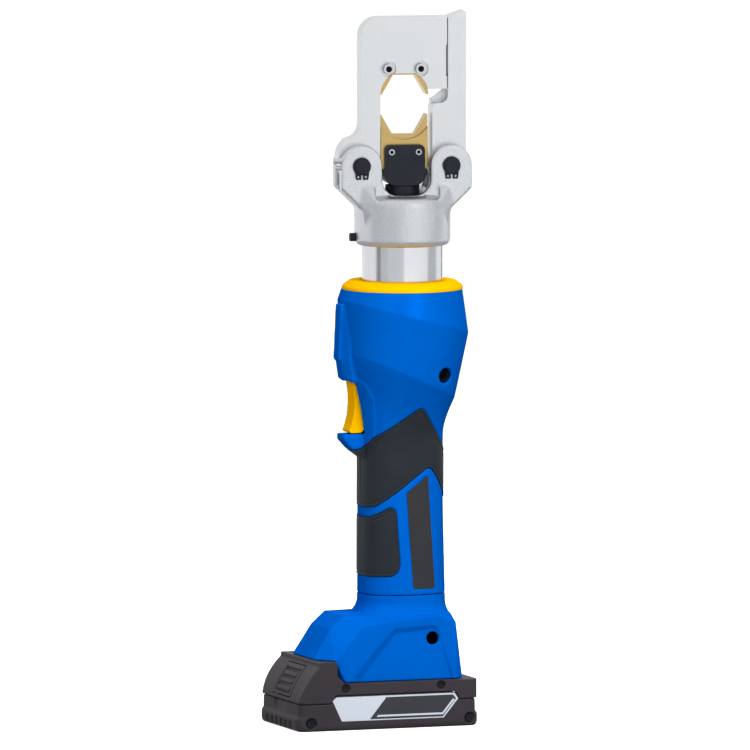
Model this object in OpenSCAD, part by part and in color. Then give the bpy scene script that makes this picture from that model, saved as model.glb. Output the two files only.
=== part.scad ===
// Battery-powered hydraulic crimping tool with a hinged crimping head.
// Millimetres. +Z is up along the handle, -X is the trigger side, and the shells part at Y = 0.
// The origin lies on the handle's axis, on the underside of the battery.

/* [Fits] */
// Angle that the head stands at on the handle
head_turn = -10; // [-160:1:160]
// Radial clearance of pieces that run in a bore
run_gap = 0.05; // [0.03:0.01:0.08]
// Clearance between pieces that move past each other
body_gap = 0.4; // [0.3:0.05:0.6]
// Wall of the moulded shells
wall = 3; // [2.6:0.1:3.4]

/* [Battery] */
// Distance from the handle's axis to the battery's front end
battery_front = 83; // [78:1:88]
// Distance from the handle's axis to the battery's rear end
battery_rear = 39; // [35:1:42]
// Width of the battery case
battery_w = 75; // [72:1:82]
// Height of the lower case
battery_lower_h = 17.4; // [16:0.2:19]
// Height of the shoulder under the foot
battery_shoulder_h = 30; // [28:0.5:33]
// Height of the hump in front of the foot
battery_hump_h = 44; // [42:0.5:47]
// Length of the hump from the front end to the foot's step
battery_hump_len = 25.6; // [22:0.2:28]
// Bulge of the hump's front over its chord
battery_bulge = 2.6; // [1.5:0.1:4]
// Corner radius of the battery case
battery_corner = 6; // [6:0.5:12]
// Wall of the battery case
battery_wall = 2.2; // [1.8:0.1:2.6]
// Height of the contact tower above the shoulder
tower_h = 11; // [9:0.5:12]
// Width of the contact tower
tower_w = 44; // [40:1:50]
// Radius of a battery cell
cell_r = 9.2; // [8.8:0.1:9.4]
// Length of a battery cell
cell_len = 65; // [60:0.5:66]
// Width of the release button
button_w = 33; // [28:1:38]
// Travel of the release button
button_travel = 3; // [2:0.5:4]

/* [Foot] */
// Height of the foot from the battery's shoulder to the handle seam
foot_h = 53; // [50:1:58]
// Width of the foot at its base
foot_w = 67; // [62:1:70]
// Distance from the handle's axis to the foot's front edge
foot_front = 67.5; // [64:0.5:70]
// Distance from the handle's axis to the foot's rear edge
foot_rear = 30.5; // [29:0.5:33]

/* [Handle] */
// Length of the handle from the seam to the start of the body
handle_h = 107; // [100:1:116]
// Depth of the handle, front to back
handle_d = 53.2; // [52:0.2:58]
// Width of the handle, side to side
handle_w = 47; // [46:0.2:52]
// Depth of the grip inlays below the shell's surface
grip_depth = 1.6; // [1.2:0.1:1.8]
// Height of the grip inlays over the shell's surface
grip_proud = 0.5; // [0.3:0.1:1]

/* [Body] */
// Height of the body from the handle to the ring
body_h = 88.5; // [86:0.5:96]
// Depth of the body, front to back
body_d = 84; // [82:1:92]
// Width of the body, side to side
body_w = 82; // [80:1:90]
// Diameter of the ring where it meets the body
ring_d = 77.4; // [74:0.2:80]
// Height of the ring
ring_h = 5.5; // [4:0.5:8]
// Width of the trigger
trigger_w = 14; // [12:0.5:16]
// Height of the finger gap between the finger rest and the body
finger_gap = 33; // [31:0.5:36]

/* [Hydraulics] */
// Outside diameter of the cylinder
cylinder_d = 52; // [51:0.5:53]
// Bore of the cylinder
bore_d = 33; // [31:0.5:35]
// Diameter of the ram's rod
rod_d = 22; // [20:0.5:23]
// Length of cylinder that shows between the ring and the collar
cylinder_show = 22.5; // [18:0.5:30]
// Depth of the cylinder's flange below the ring
cylinder_sunk = 46.2; // [45:0.2:48]
// Height of the pump block
block_h = 64; // [62:0.5:66]
// Diameter of the pump block's head
block_d = 54; // [50:1:55]
// Diameter of the pump block's skirt
skirt_d = 40; // [39:0.5:40.5]
// Throw of the pump eccentric
eccentric = 1.2; // [0.8:0.1:1.5]

/* [Drive] */
// Outside diameter of the motor can
motor_d = 37; // [35:0.5:38]
// Length of the motor can
motor_len = 54; // [50:0.5:55]
// Module of the gears
gear_module = 0.75; // [0.7:0.01:0.78]
// Outside diameter of the ring gear
ring_gear_d = 39; // [38.5:0.1:40]
// Length of the gear case
gear_len = 18; // [17:0.5:20]

/* [Head] */
// Outside diameter of the collar
collar_d = 61.5; // [60:0.5:66]
// Height of the collar
collar_h = 32.5; // [30:0.5:36]
// Height of the hinge pins above the collar's underside
pin_rise = 51.5; // [50:0.5:54]
// Distance between the two hinge pins
pin_span = 58; // [56:0.5:62]
// Diameter of the hinge pins
pin_d = 9.2; // [8:0.2:10]
// Radius of the ears about the pins
ear_r = 13.4; // [13:0.1:15]
// Depth of the clevis over both ears
clevis_d = 33; // [30:0.5:38]
// Thickness of the two arms
arm_t = 16; // [14:0.5:18]
// Radius of the arms' hinge bosses
boss_r = 12.6; // [12:0.1:12.8]

/* [Jaws] */
// Size of the hexagon across its flats when the dies meet
hex_af = 25.6; // [22:0.2:26]
// Stroke of the ram
stroke = 12.2; // [10:0.2:13]
// Height of the upper die's tips above the pins
die_rise = 44.8; // [44:0.2:48]
// Half width of the window on the swing arm's side
window_left = 15.6; // [15.4:0.1:17]
// Half width of the window on the latch's side
window_right = 18; // [17:0.5:20]
// Width of the swing arm's leg
leg_w = 12.4; // [11:0.2:14]
// Height of the crossbar over the upper die's tips
crossbar_h = 49.7; // [46:0.1:54]
// Place of the crossbar's end beyond the axis
crossbar_end = 27.6; // [26:0.2:29]
// Width of the latch arm above its ledge
latch_w = 11.6; // [10.5:0.1:13]
// Thickness of the dies
die_t = 14.6; // [12:0.2:15]
// Width of the die holder
holder_w = 28.4; // [26:0.2:29]
// Travel of the die pins
die_pin_travel = 2.4; // [1.5:0.1:3]

/* [Hidden] */

$fn = 64;
// Thickness of a loft's section slices, and an overshoot that makes cuts clean
slice_t = 0.02;
over = 1;
// Larger than the object, for cutting planes
far = 600;
// Points round a loft's section
loft_points = 32;

// Levels up the tool
seam_z = battery_shoulder_h + foot_h;
grip_top_z = seam_z + handle_h;
ring_z = grip_top_z + body_h;
ring_top_z = ring_z + ring_h;
collar_z = ring_top_z + cylinder_show;
lip_z = collar_z + collar_h;
pin_z = collar_z + pin_rise;
tip_z = pin_z + die_rise;
top_z = tip_z + crossbar_h;
seam_gap = 0.8;

// Sections up the handle and body: level, slope of the section along X, centre, half depth,
// half width and roundness. The two ridges of the body run down towards the back.
handle_shift = -1.5;
sections = [
    [seam_z + seam_gap, 0, handle_shift + 0.6, handle_d / 2 + 0.7, handle_w / 2 + 0.7, 2.6],
    [seam_z + 60, 0, handle_shift, handle_d / 2, handle_w / 2, 2.6],
    [grip_top_z - 12, 0, handle_shift, handle_d / 2, handle_w / 2 + 0.1, 2.6],
    [grip_top_z, -0.06, handle_shift - 0.4, handle_d / 2 + 0.8, handle_w / 2 + 1.1, 2.5],
    [grip_top_z + 13, -0.22, handle_shift - 0.8, handle_d / 2 + 3.6, handle_w / 2 + 5, 2.3],
    [ring_z - 56.5, -0.43, handle_shift - 2, body_d / 2 - 5.6, body_w / 2 - 4.6, 2.1],
    [ring_z - 17.5, -0.27, 0.4, body_d / 2, body_w / 2, 2],
    [ring_z - slice_t, 0, -0.4, ring_d / 2, ring_d / 2, 2]
];
last = len(sections) - 1;
cavity = [for (i = [0:last]) let (s = sections[i])
    i == 0 ? [s[0] - over, s[1], s[2], s[3], s[4], s[5]]
    : i == last ? [s[0] - wall, s[1], s[2], s[3], s[4], s[5]] : s];

// Finger rest and trigger
handle_front = handle_shift - handle_d / 2;
handle_back = handle_shift + handle_d / 2;
rest_top_z = grip_top_z - 3.4;
rest_reach = 13.9;
guard_z = rest_top_z + finger_gap;
pivot_x = -33.2;
pivot_z = guard_z + 3.5;
pivot_r = 1.5;
trigger_slot_w = trigger_w + 2 * body_gap;
trigger_back = 8.2;
guard_w = trigger_w + 8;
guard_reach = 12;

// Grip inlays and name plate, as outlines seen from the side
past = 10;
upper_grip_outline = [
    [handle_front - past, 176], [handle_front - 1.4, 177], [handle_front + 2.4, 184], [3.2, 205], [14.6, 189],
    [handle_back - 1.1, 176.4], [handle_back + past, 169.4], [handle_back + past, 136], [handle_back - 1.1, 145],
    [16.4, 158.2], [10.4, 166.2], [handle_front + 3.8, 140.4], [handle_front - past, 136]
];
lower_grip_outline = [
    [handle_front - past, 131], [handle_front + 1.1, 133.3], [handle_front + 7.1, 137], [-16, 140.2],
    [-12.8, 139], [-12, 135.5], [-9.7, 103.5], [-11, 98.6], [-15, 95.8], [handle_front - past, 94.8]
];
plate_outline = [[9.4, 160.4], [-5.7, 149.4], [-1.2, 87.4], [14.4, 87.4]];
plate_depth = 0.8;
grip_base_z = 190;

// Screws
body_screw_x = 17.6;
body_screw_z = ring_z - 54;
foot_screw_x = 9.7;
foot_screw_z = seam_z - 26.5;
screw_r = 2.5;
screw_head_r = 4.2;
screw_head_h = 3.4;
screw_boss_r = 7;

// Hydraulic stack
cyl_r = cylinder_d / 2;
flange_r = cyl_r + 2;
flange_h = 5.7;
cyl_base_z = ring_z - cylinder_sunk;
swivel_gap = 0.3;
block_top_z = cyl_base_z - swivel_gap;
block_z = block_top_z - block_h;
block_step_z = block_top_z - 20;
block_flat = 21;
block_front = 18.5;
spigot_r = 10;
spigot_h = 9;
seal_t = 1.5;
collar_seat_h = 19.5;
cyl_top_z = collar_z + collar_seat_h;
cyl_floor = 9.7;
bore_r = bore_d / 2;
rod_r = rod_d / 2;
piston_z = cyl_base_z + cyl_floor + body_gap;
piston_h = 14;
gland_h = 14;
gland_z = cyl_top_z - gland_h;
bearing_h = 6;
bearing_r = 8;
shaft_r = 5;
cavity_r = 11.6;
ecc_h = 9;
ecc_z = block_z + bearing_h + 2.4;
ecc_r = 6;
ecc_ring_r = 9;
plunger_r = 2.5;
plunger_x = ecc_ring_r + eccentric + 0.3;
plunger_len = 6.5;
reservoir_gap = 2.4;
rib_t = 3.6;
rib_z = cyl_base_z + flange_h + body_gap;
line_r = 1.8;
line_x = 31.2;

// Drive stack
gear_z = block_z - gear_len;
gear_floor = 3;
motor_z = gear_z - motor_len;
motor_r = motor_d / 2;
motor_wall = 2.4;
shaft_d = 5;
sun_teeth = 12;
planet_teeth = 15;
ring_teeth = 42;
planet_orbit = gear_module * (sun_teeth + planet_teeth) / 2;
gear_face = 9;
gear_lift = gear_z + gear_floor + 0.6;
carrier_z = gear_lift + gear_face + 0.6;
carrier_t = 3;
planet_pin_r = 1.8;
backlash = 0.14;

// Head
collar_r = collar_d / 2;
half_span = pin_span / 2;
pin_r = pin_d / 2;
slot_gap = 0.3;
clip_t = 1.2;
clip_groove = 0.5;
pin_stick = 2.4;
ear_foot_z = pin_z - 14.3;
collar_chamfer = 3;
throat_h = 9;
rim_r = collar_r - 9.2;
lip_round = [[0, 6.5], [0.5, 4], [1.8, 2], [4.2, 0.7]];
window_corner = 10;
ear_inner = half_span - ear_r;
throat_r = bore_r - 1;

// Jaws
hex_side = hex_af / sqrt(3);
die_r = hex_side + 0.7;
die_crown = hex_af / 2 + 0.9;
die_half = window_left - body_gap;
lobe_r = 13;
lobe_rise = 5.5;
lobe_room = 2.6;
tongue_t = 8;
low_tip_z = tip_z - stroke - 0.3;
holder_z = lip_z + 6;
holder_top_z = low_tip_z - 19.3;
holder_t = 22.6;
holder_corner = 8.6;
holder_slot_z = holder_z + 10.4;
upper_pin_u = 10.4;
upper_pin_z = tip_z + 16.6;
lower_pin_u = 8.7;
lower_pin_z = holder_top_z - 4.6;
upper_pin_r = 3.4;
lower_pin_r = 2;
upper_pin_y = tongue_t / 2 - die_pin_travel - 2.2;
lower_pin_y = 1.6 - die_t / 2;
holder_bore = 6;
leg_outer = window_left + leg_w;
crossbar_z = tip_z + 3.6;
latch_gap = 0.6;
latch_inner = crossbar_end + latch_gap;
latch_outer = latch_inner + latch_w;
ledge_z = tip_z - 5.4;
latch_top_z = top_z + 3.6;
tongue_len = 5.4;
tongue_low = top_z - 16.5;
tongue_high = top_z - 5.5;
tongue_slope = 27;
catch_t = 7;

// Battery and foot
step_x = battery_hump_len - battery_front;
hump_lean = 16.5;
lower_wall = battery_wall + 0.8;
cell_gap = 2;
floor_t = battery_wall + 0.4;
case_half = max(battery_w / 2, cell_len / 2 + lower_wall + cell_gap);
upper_screw_xs = [-51.6, 12.9];
upper_screw_z = battery_shoulder_h - 2.9;
upper_screw_r = 2.3;
lower_screw_xs = [8 - battery_front, battery_rear - 6.5];
lower_screw_z = 5.2;
lower_screw_r = 2.5;
screw_sunk = 2.4;
plate_t = 0.8;
button_back = 16;
parting_gap = 0.4;
tab_h = 5;
hump_back = 12;
foot_gap = 0.4;
shelf_z = battery_hump_h + foot_gap;
shelf_t = 2;
tower_front = -50;
tower_rear = foot_rear - wall - 2;
blade_ys = [-16, -6, 6, 16];
blade_t = 0.8;
blade_len = 14;
blade_x = -5;
block_half = tower_w / 2 - 8;
terminal_h = 5;

blue = "royalblue";
yellow = "gold";
rubber = [0.18, 0.2, 0.22];
dark = [0.23, 0.21, 0.22];
steel = "silver";
black_steel = [0.14, 0.15, 0.19];
gold = [0.85, 0.68, 0.3];

// Helpers

function signed_power(t, p) = sign(t) * pow(abs(t), 2 / p);

function section_outline(s, inset) = [for (i = [0:loft_points - 1]) let (t = 360 * i / loft_points)
    [s[2] + (s[3] - inset) * signed_power(cos(t), s[5]), (s[4] - inset) * signed_power(sin(t), s[5])]];

// One thin slice of a loft, sheared so that it runs down towards the back
module slice(s, inset) {
    multmatrix([[1, 0, 0, 0], [0, 1, 0, 0], [s[1], 0, 1, s[0]], [0, 0, 0, 1]])
        linear_extrude(slice_t) polygon(section_outline(s, inset));
}

module loft(list, inset) {
    for (i = [0:len(list) - 2]) hull() {
        slice(list[i], inset);
        slice(list[i + 1], inset);
    }
}

// A side outline in X and Z, extruded across Y
module across(depth) {
    rotate([90, 0, 0]) linear_extrude(depth, center = true) children();
}

// A cylinder along Y from the side towards the middle
module side_cylinder(r, x, z, y0, y1) {
    translate([x, y1, z]) rotate([90, 0, 0]) cylinder(h = y1 - y0, r = r);
}

module tube(r, bore, h) {
    difference() {
        cylinder(h = h, r = r);
        translate([0, 0, -over]) cylinder(h = h + 2 * over, r = bore);
    }
}

module side_half(side) {
    translate([-far / 2, side > 0 ? 0 : -far, -over]) cube([far, far, far]);
}

module in_head() {
    rotate([0, 0, head_turn]) children();
}

module rounded_plan(x0, x1, half, r) {
    hull() for (x = [x0 + r, x1 - r], y = [r - half, half - r]) translate([x, y]) circle(r);
}

// Involute gear outline with thinned teeth, a tooth centred on +X
function involute(b, r) = sqrt(pow(r / b, 2) - 1) * 180 / PI - acos(b / r);

function tooth_half(m, n, thin, r) = let (pitch = m * n / 2, base = pitch * cos(20))
    90 / n - thin * 90 / PI / pitch + involute(base, pitch) - involute(base, max(r, base));

module gear_outline(m, n, add, ded, thin) {
    pitch = m * n / 2;
    radii = [pitch - ded, pitch - ded / 2, pitch, pitch + add / 2, pitch + add];
    polygon([for (i = [0:n - 1]) each concat(
        [for (r = radii) let (a = 360 * i / n - tooth_half(m, n, thin, r)) r * [cos(a), sin(a)]],
        [for (k = [len(radii) - 1:-1:0]) let (r = radii[k], a = 360 * i / n + tooth_half(m, n, thin, r))
            r * [cos(a), sin(a)]])]);
}

// Coil spring along +Z as one swept tube of six sides
module coil(r, wire, h, turns) {
    sides = 6;
    steps = 8 * turns;
    ring = [for (k = [0:steps]) let (t = 360 * k / 8, z = wire + (h - 2 * wire) * k / steps)
        [for (j = [0:sides - 1]) let (a = 360 * j / sides, q = r + wire * cos(a))
            [q * cos(t), q * sin(t), z + wire * sin(a)]]];
    wallf = [for (k = [0:steps - 1], j = [0:sides - 1]) let (n = (j + 1) % sides)
        each [[k * sides + j, k * sides + n, (k + 1) * sides + n],
              [k * sides + j, (k + 1) * sides + n, (k + 1) * sides + j]]];
    polyhedron([for (q = ring) each q],
        concat([for (f = wallf) [f[2], f[1], f[0]]], [[for (j = [0:sides - 1]) j]],
            [[for (j = [sides - 1:-1:0]) steps * sides + j]]));
}

// Housing shells

module grip_prism(outline) {
    across(far) polygon([for (p = outline) [p[0], p[1] - grip_base_z + grip_top_z]]);
}

module inlay(outline, depth, proud) {
    intersection() {
        difference() {
            loft(sections, -proud);
            loft(cavity, depth);
        }
        grip_prism(outline);
    }
}

// Ridge over the trigger, with walls for its pivot pin
module guard() {
    ridge_top = ring_z - 9;
    ridge_mid = ring_z - 44;
    front = pivot_x - guard_reach;
    back = pivot_x + trigger_back - over;
    hull() {
        across(guard_w / 2) polygon([[front + 1.6, ridge_top], [front, ridge_mid], [front + 3.6, guard_z + 2.4],
            [front + 8.4, guard_z], [back, guard_z], [back, ridge_top]]);
        across(guard_w) polygon([[front + 7.2, ridge_top - 4], [front + 5.2, ridge_mid], [front + 8, guard_z],
            [back + 2, guard_z], [back + 2, ridge_top - 4]]);
    }
}

module finger_rest() {
    tip = handle_front - rest_reach;
    root = handle_front + 8.1;
    hull() across(trigger_w) polygon([[tip, rest_top_z], [tip, rest_top_z - 4], [tip + 6, rest_top_z - 10.4],
        [tip + 15, rest_top_z - 17], [root, rest_top_z - 17], [root, rest_top_z]]);
}

// A cradle rib of the shell, bored for what it holds
module cradle(z, t, r) {
    difference() {
        intersection() {
            loft(cavity, wall - slice_t);
            translate([-far / 2, -far / 2, z]) cube([far, far, t]);
        }
        translate([0, 0, z - over]) cylinder(h = t + 2 * over, r = r);
    }
}

module shell(side) {
    boss_end = block_flat;
    difference() {
        intersection() {
            union() {
                difference() {
                    union() {
                        loft(sections, 0);
                        guard();
                        finger_rest();
                    }
                    loft(cavity, wall);
                    inlay(upper_grip_outline, grip_depth, over);
                    inlay(lower_grip_outline, grip_depth, over);
                    inlay(plate_outline, plate_depth, over);
                }
                cradle(motor_z + 8, 2.4, motor_r + 0.1);
                cradle(motor_z + motor_len - 10, 2.4, motor_r + 0.1);
                cradle(gear_z + gear_len / 2, 2.4, ring_gear_d / 2 + 0.1);
                cradle(rib_z, rib_t, cyl_r + body_gap);
                intersection() {
                    side_cylinder(screw_boss_r, body_screw_x, body_screw_z,
                        side > 0 ? boss_end : -far / 4, side > 0 ? far / 4 : -boss_end);
                    loft(sections, wall / 2);
                }
            }
            side_half(side);
        }
        // Opening for the cylinder, slot for the trigger, pivot holes and screw recess
        translate([0, 0, ring_z - 2 * wall]) cylinder(h = far, r = cyl_r + body_gap);
        translate([pivot_x + trigger_back - far, -trigger_slot_w / 2, rest_top_z])
            cube([far, trigger_slot_w, finger_gap]);
        translate([pivot_x - 5.6, -trigger_slot_w / 2, guard_z - over])
            cube([far / 20, trigger_slot_w, pivot_z - guard_z + 5]);
        side_cylinder(pivot_r, pivot_x, pivot_z, -trigger_w / 2 - 2.6, trigger_w / 2 + 2.6);
        side_cylinder(screw_r + 0.3, body_screw_x, body_screw_z, -far / 4, far / 4);
        side_cylinder(screw_head_r + 0.4, body_screw_x, body_screw_z,
            side > 0 ? boss_end + wall : -far / 4, side > 0 ? far / 4 : -boss_end - wall);
        translate([line_x, 0, rib_z - over]) cylinder(h = rib_t + 2 * over, r = line_r + 0.3);
    }
}

module left_shell() {
    color(blue) shell(-1);
}

module right_shell() {
    color(blue) shell(1);
}

module collar_ring() {
    color(yellow) translate([0, 0, ring_z]) rotate_extrude() polygon([
        [cyl_r + body_gap, 0], [ring_d / 2, 0], [ring_d / 2 - 0.8, ring_h * 0.4],
        [ring_d / 2 - 2.4, ring_h * 0.8], [ring_d / 2 - 4.6, ring_h], [cyl_r + body_gap, ring_h]]);
}

module grip(side, outline) {
    color(rubber) intersection() {
        inlay(outline, grip_depth, grip_proud);
        side_half(side);
        // The inlay ends where the finger rest stands
        difference() {
            translate([-far / 2, -far / 2, 0]) cube(far);
            finger_rest();
        }
    }
}

module left_upper_grip() {
    grip(-1, upper_grip_outline);
}

module right_upper_grip() {
    grip(1, upper_grip_outline);
}

module left_lower_grip() {
    grip(-1, lower_grip_outline);
}

module right_lower_grip() {
    grip(1, lower_grip_outline);
}

module name_plates() {
    color(black_steel) inlay(plate_outline, plate_depth, 0);
}

// Foot

// Faceted block of the foot, drawn in by an inset
module foot_block(inset) {
    half = foot_w / 2 - inset;
    front = inset - foot_front;
    rear = foot_rear - inset;
    low = battery_shoulder_h + foot_gap - (inset > 0 ? over : 0);
    high = seam_z - 11.5 - inset;
    hull() for (y = [-1, 1]) for (p = [
        [front, 20 - inset / 2, shelf_z - (inset > 0 ? 2 * over : 0)], [front + 12, 18 - inset / 2, high - 8],
        [front + 21, 18 - inset / 2, high],
        [step_x + inset / 2, half - 0.5, shelf_z - (inset > 0 ? 2 * over : 0)],
        [step_x + 20, half - 2.4, high - 5.5], [step_x + 7, half, low],
        [rear, half - 5, low], [rear - 6, half, low], [rear - 2.5, half - 10, high - 6],
        [10, half - 3, high - 0.5], [rear - 5, half - 14, high]])
            translate([p[0], y * p[1], p[2]]) cube(slice_t);
}

module foot_neck(inset) {
    s = sections[0];
    hull() {
        translate([0, 0, seam_z - 0.02]) linear_extrude(slice_t) polygon(section_outline(s, inset));
        translate([0, 0, seam_z - 5]) linear_extrude(slice_t) polygon(section_outline(s, inset - 0.2));
    }
    hull() {
        translate([0, 0, seam_z - 5]) linear_extrude(slice_t) polygon(section_outline(s, inset - 0.2));
        translate([-1, 0, seam_z - 13.5 - inset]) linear_extrude(slice_t)
            polygon(section_outline(s, inset - 3));
    }
}

// Tongue that the handle shells close over
module foot_spigot() {
    s = sections[0];
    difference() {
        translate([0, 0, seam_z - 4]) linear_extrude(12) polygon(section_outline(s, wall + 0.2));
        translate([0, 0, seam_z - 5]) linear_extrude(14) polygon(section_outline(s, 2 * wall));
    }
}

module foot_shell(side) {
    difference() {
        union() {
            difference() {
                union() {
                    foot_block(0);
                    foot_neck(0);
                }
                foot_block(wall);
                foot_neck(wall);
            }
            foot_spigot();
            // Shelf that carries the terminal block
            intersection() {
                foot_block(wall / 2);
                difference() {
                    translate([step_x + 12, -far / 2, shelf_z + over]) cube([far, far, shelf_t]);
                    translate([blade_x - 14, -block_half, shelf_z]) cube([40, 2 * block_half, 3 * shelf_t]);
                }
            }
            intersection() {
                foot_block(wall / 2);
                side_cylinder(screw_boss_r - 1, foot_screw_x, foot_screw_z, -far / 4, far / 4);
            }
        }
        translate([-far / 2, side > 0 ? -far : 0, -over]) cube([far, far, far]);
        // Step over the battery's hump
        translate([-far, -far / 2, 0]) cube([far + step_x + foot_gap, far, shelf_z]);
        side_cylinder(screw_r + 0.3, foot_screw_x, foot_screw_z, -far / 4, far / 4);
        if (side < 0) side_cylinder(screw_head_r, foot_screw_x, foot_screw_z, -far / 4, -foot_w / 4);
    }
}

module left_foot_shell() {
    color(blue) foot_shell(-1);
}

module right_foot_shell() {
    color(blue) foot_shell(1);
}

module socket_screw(len, head_r, head_h, shank_r) {
    difference() {
        union() {
            cylinder(h = head_h, r = head_r);
            translate([0, 0, -len]) cylinder(h = len + over, r = shank_r);
        }
        translate([0, 0, head_h - 2]) cylinder(h = 2 + over, r = head_r * 0.55, $fn = 6);
    }
}

module shell_screws() {
    color(black_steel) {
        for (side = [-1, 1]) translate([body_screw_x, side * (block_flat + wall), body_screw_z])
            rotate([-side * 90, 0, 0]) socket_screw(wall + 7, screw_head_r, screw_head_h, screw_r);
        translate([foot_screw_x, -foot_w / 4, foot_screw_z])
            rotate([90, 0, 0]) socket_screw(foot_w / 2 - 4, screw_head_r - 0.4, screw_head_h, screw_r);
    }
}

// Hydraulics and drive inside the housing

module pump_block() {
    color(steel) difference() {
        union() {
            translate([0, 0, block_z]) cylinder(h = block_h, r = skirt_d / 2);
            intersection() {
                translate([0, 0, block_step_z]) cylinder(h = block_top_z - block_step_z, r = block_d / 2);
                translate([-block_front, -block_flat, block_step_z])
                    cube([far, 2 * block_flat, block_top_z - block_step_z]);
            }
            // Lug under the oil line and boss round the plunger
            translate([0, -4, block_top_z - 8]) cube([line_x + line_r + 0.6, 8, 8]);
            translate([0, 0, ecc_z + ecc_h / 2]) rotate([0, 90, 0]) cylinder(h = 22, r = plunger_r + 2.6);
        }
        translate([-far - block_front, -far / 2, 0]) cube([far, far, far]);
        translate([0, 0, block_z - over]) cylinder(h = bearing_h + 2 * over, r = bearing_r);
        translate([0, 0, block_z + bearing_h]) cylinder(h = ecc_h + 5, r = cavity_r);
        translate([0, 0, ecc_z + ecc_h / 2]) rotate([0, 90, 0])
            cylinder(h = plunger_x + plunger_len + 2 * eccentric + 0.6, r = plunger_r + run_gap);
        translate([0, 0, block_top_z - spigot_h - 1.4]) cylinder(h = far, r = spigot_r + run_gap);
        translate([0, 0, block_top_z - 6]) cylinder(h = 3, r = spigot_r + seal_t);
        translate([0, 0, ecc_z + ecc_h + over]) cylinder(h = far, r = 2);
        translate([line_x, 0, block_top_z - 6]) cylinder(h = far, r = line_r - 0.8);
        for (side = [-1, 1]) side_cylinder(screw_r, body_screw_x, body_screw_z,
            side > 0 ? block_flat - 7 : -far, side > 0 ? far : 7 - block_flat);
    }
}

module oil_reservoir() {
    color(rubber) translate([0, 0, rib_z + rib_t]) difference() {
        tube(cyl_r + reservoir_gap + 6.6, cyl_r + reservoir_gap, 24);
        translate([line_x, 0, -over]) cylinder(h = 6, r = line_r - 0.8);
    }
}

module oil_line() {
    h = rib_z + rib_t - block_top_z;
    color(steel) translate([line_x, 0, block_top_z]) tube(line_r, line_r - 0.8, h);
}

module rotary_seal() {
    color(rubber) translate([0, 0, block_top_z - 6]) tube(spigot_r + seal_t, spigot_r + run_gap, 3);
}

module ring_gear() {
    color(steel) translate([0, 0, gear_z]) difference() {
        cylinder(h = gear_len, r = ring_gear_d / 2);
        translate([0, 0, gear_floor]) linear_extrude(gear_len) gear_outline(gear_module, ring_teeth,
            1.05 * gear_module, 0.7 * gear_module, -backlash);
        translate([0, 0, -over]) cylinder(h = gear_len, r = shaft_d / 2 + 2);
    }
}

module motor_can() {
    color(steel) translate([0, 0, motor_z]) difference() {
        cylinder(h = motor_len, r = motor_r);
        translate([0, 0, motor_wall + 4])
            cylinder(h = motor_len - 2 * motor_wall - 8, r = motor_r - motor_wall);
        translate([0, 0, -over]) cylinder(h = motor_len + 2 * over, r = shaft_d / 2 + 2.5);
    }
}

module motor_magnets() {
    color(dark) translate([0, 0, motor_z + motor_wall + 8]) intersection() {
        tube(motor_r - motor_wall, motor_r - motor_wall - 2.4, motor_len - 2 * motor_wall - 16);
        union() for (a = [-1, 1]) translate([-far / 2, a > 0 ? 3 : -far / 2 - 3, 0]) cube([far, far / 2, far]);
    }
}

module shaft_bearings() {
    color(steel) {
        for (z = [motor_z, motor_z + motor_len - 4]) translate([0, 0, z])
            tube(shaft_d / 2 + 2.5, shaft_d / 2 + run_gap, 4);
        translate([0, 0, block_z]) tube(bearing_r, shaft_r + run_gap, bearing_h);
    }
}

module motor_rotor() {
    color(gold) translate([0, 0, motor_z]) {
        translate([0, 0, motor_wall + 9])
            cylinder(h = motor_len - 2 * motor_wall - 18, r = motor_r - motor_wall - 3.2);
        translate([0, 0, -1.6]) cylinder(h = gear_lift + gear_face + 1.6 - motor_z, r = shaft_d / 2);
    }
}

module sun_gear() {
    color(steel) translate([0, 0, gear_lift]) difference() {
        linear_extrude(gear_face) gear_outline(gear_module, sun_teeth,
            0.75 * gear_module, 1.1 * gear_module, backlash);
        translate([0, 0, -over]) cylinder(h = gear_face + 2 * over, r = shaft_d / 2);
    }
}

module planet_gear(i) {
    color(steel) rotate([0, 0, 120 * i]) translate([planet_orbit, 0, gear_lift]) difference() {
        linear_extrude(gear_face) gear_outline(gear_module, planet_teeth,
            0.75 * gear_module, 1.1 * gear_module, backlash);
        translate([0, 0, -over]) cylinder(h = gear_face + 2 * over, r = planet_pin_r + run_gap);
    }
}

module planet_gear_1() {
    planet_gear(0);
}

module planet_gear_2() {
    planet_gear(1);
}

module planet_gear_3() {
    planet_gear(2);
}

module planet_carrier() {
    color(steel) {
        translate([0, 0, carrier_z]) cylinder(h = carrier_t, r = planet_orbit + planet_pin_r + 1.6);
        for (i = [0:2]) rotate([0, 0, 120 * i]) translate([planet_orbit, 0, gear_lift])
            cylinder(h = gear_face + 2, r = planet_pin_r);
        translate([0, 0, carrier_z]) cylinder(h = ecc_z - carrier_z, r = shaft_r);
        translate([eccentric, 0, ecc_z - 1.2]) cylinder(h = ecc_h + 1.2, r = ecc_r);
    }
}

module eccentric_bearing() {
    color(gold) translate([eccentric, 0, ecc_z]) tube(ecc_ring_r, ecc_r, ecc_h);
}

module pump_plunger() {
    color(steel) translate([plunger_x, 0, ecc_z + ecc_h / 2]) rotate([0, 90, 0])
        cylinder(h = plunger_len, r = plunger_r);
}

module control_board() {
    color("darkgreen") translate([blade_x - 45, -block_half - 2, shelf_z + over + terminal_h]) {
        cube([52, 2 * block_half + 4, 1.6]);
        translate([4, 4, 1.6]) cube([10, 8, 3]);
        translate([20, 5, 1.6]) cube([14, 12, 4]);
        translate([40, 8, 1.6]) cube([7, 7, 2]);
    }
}

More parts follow.
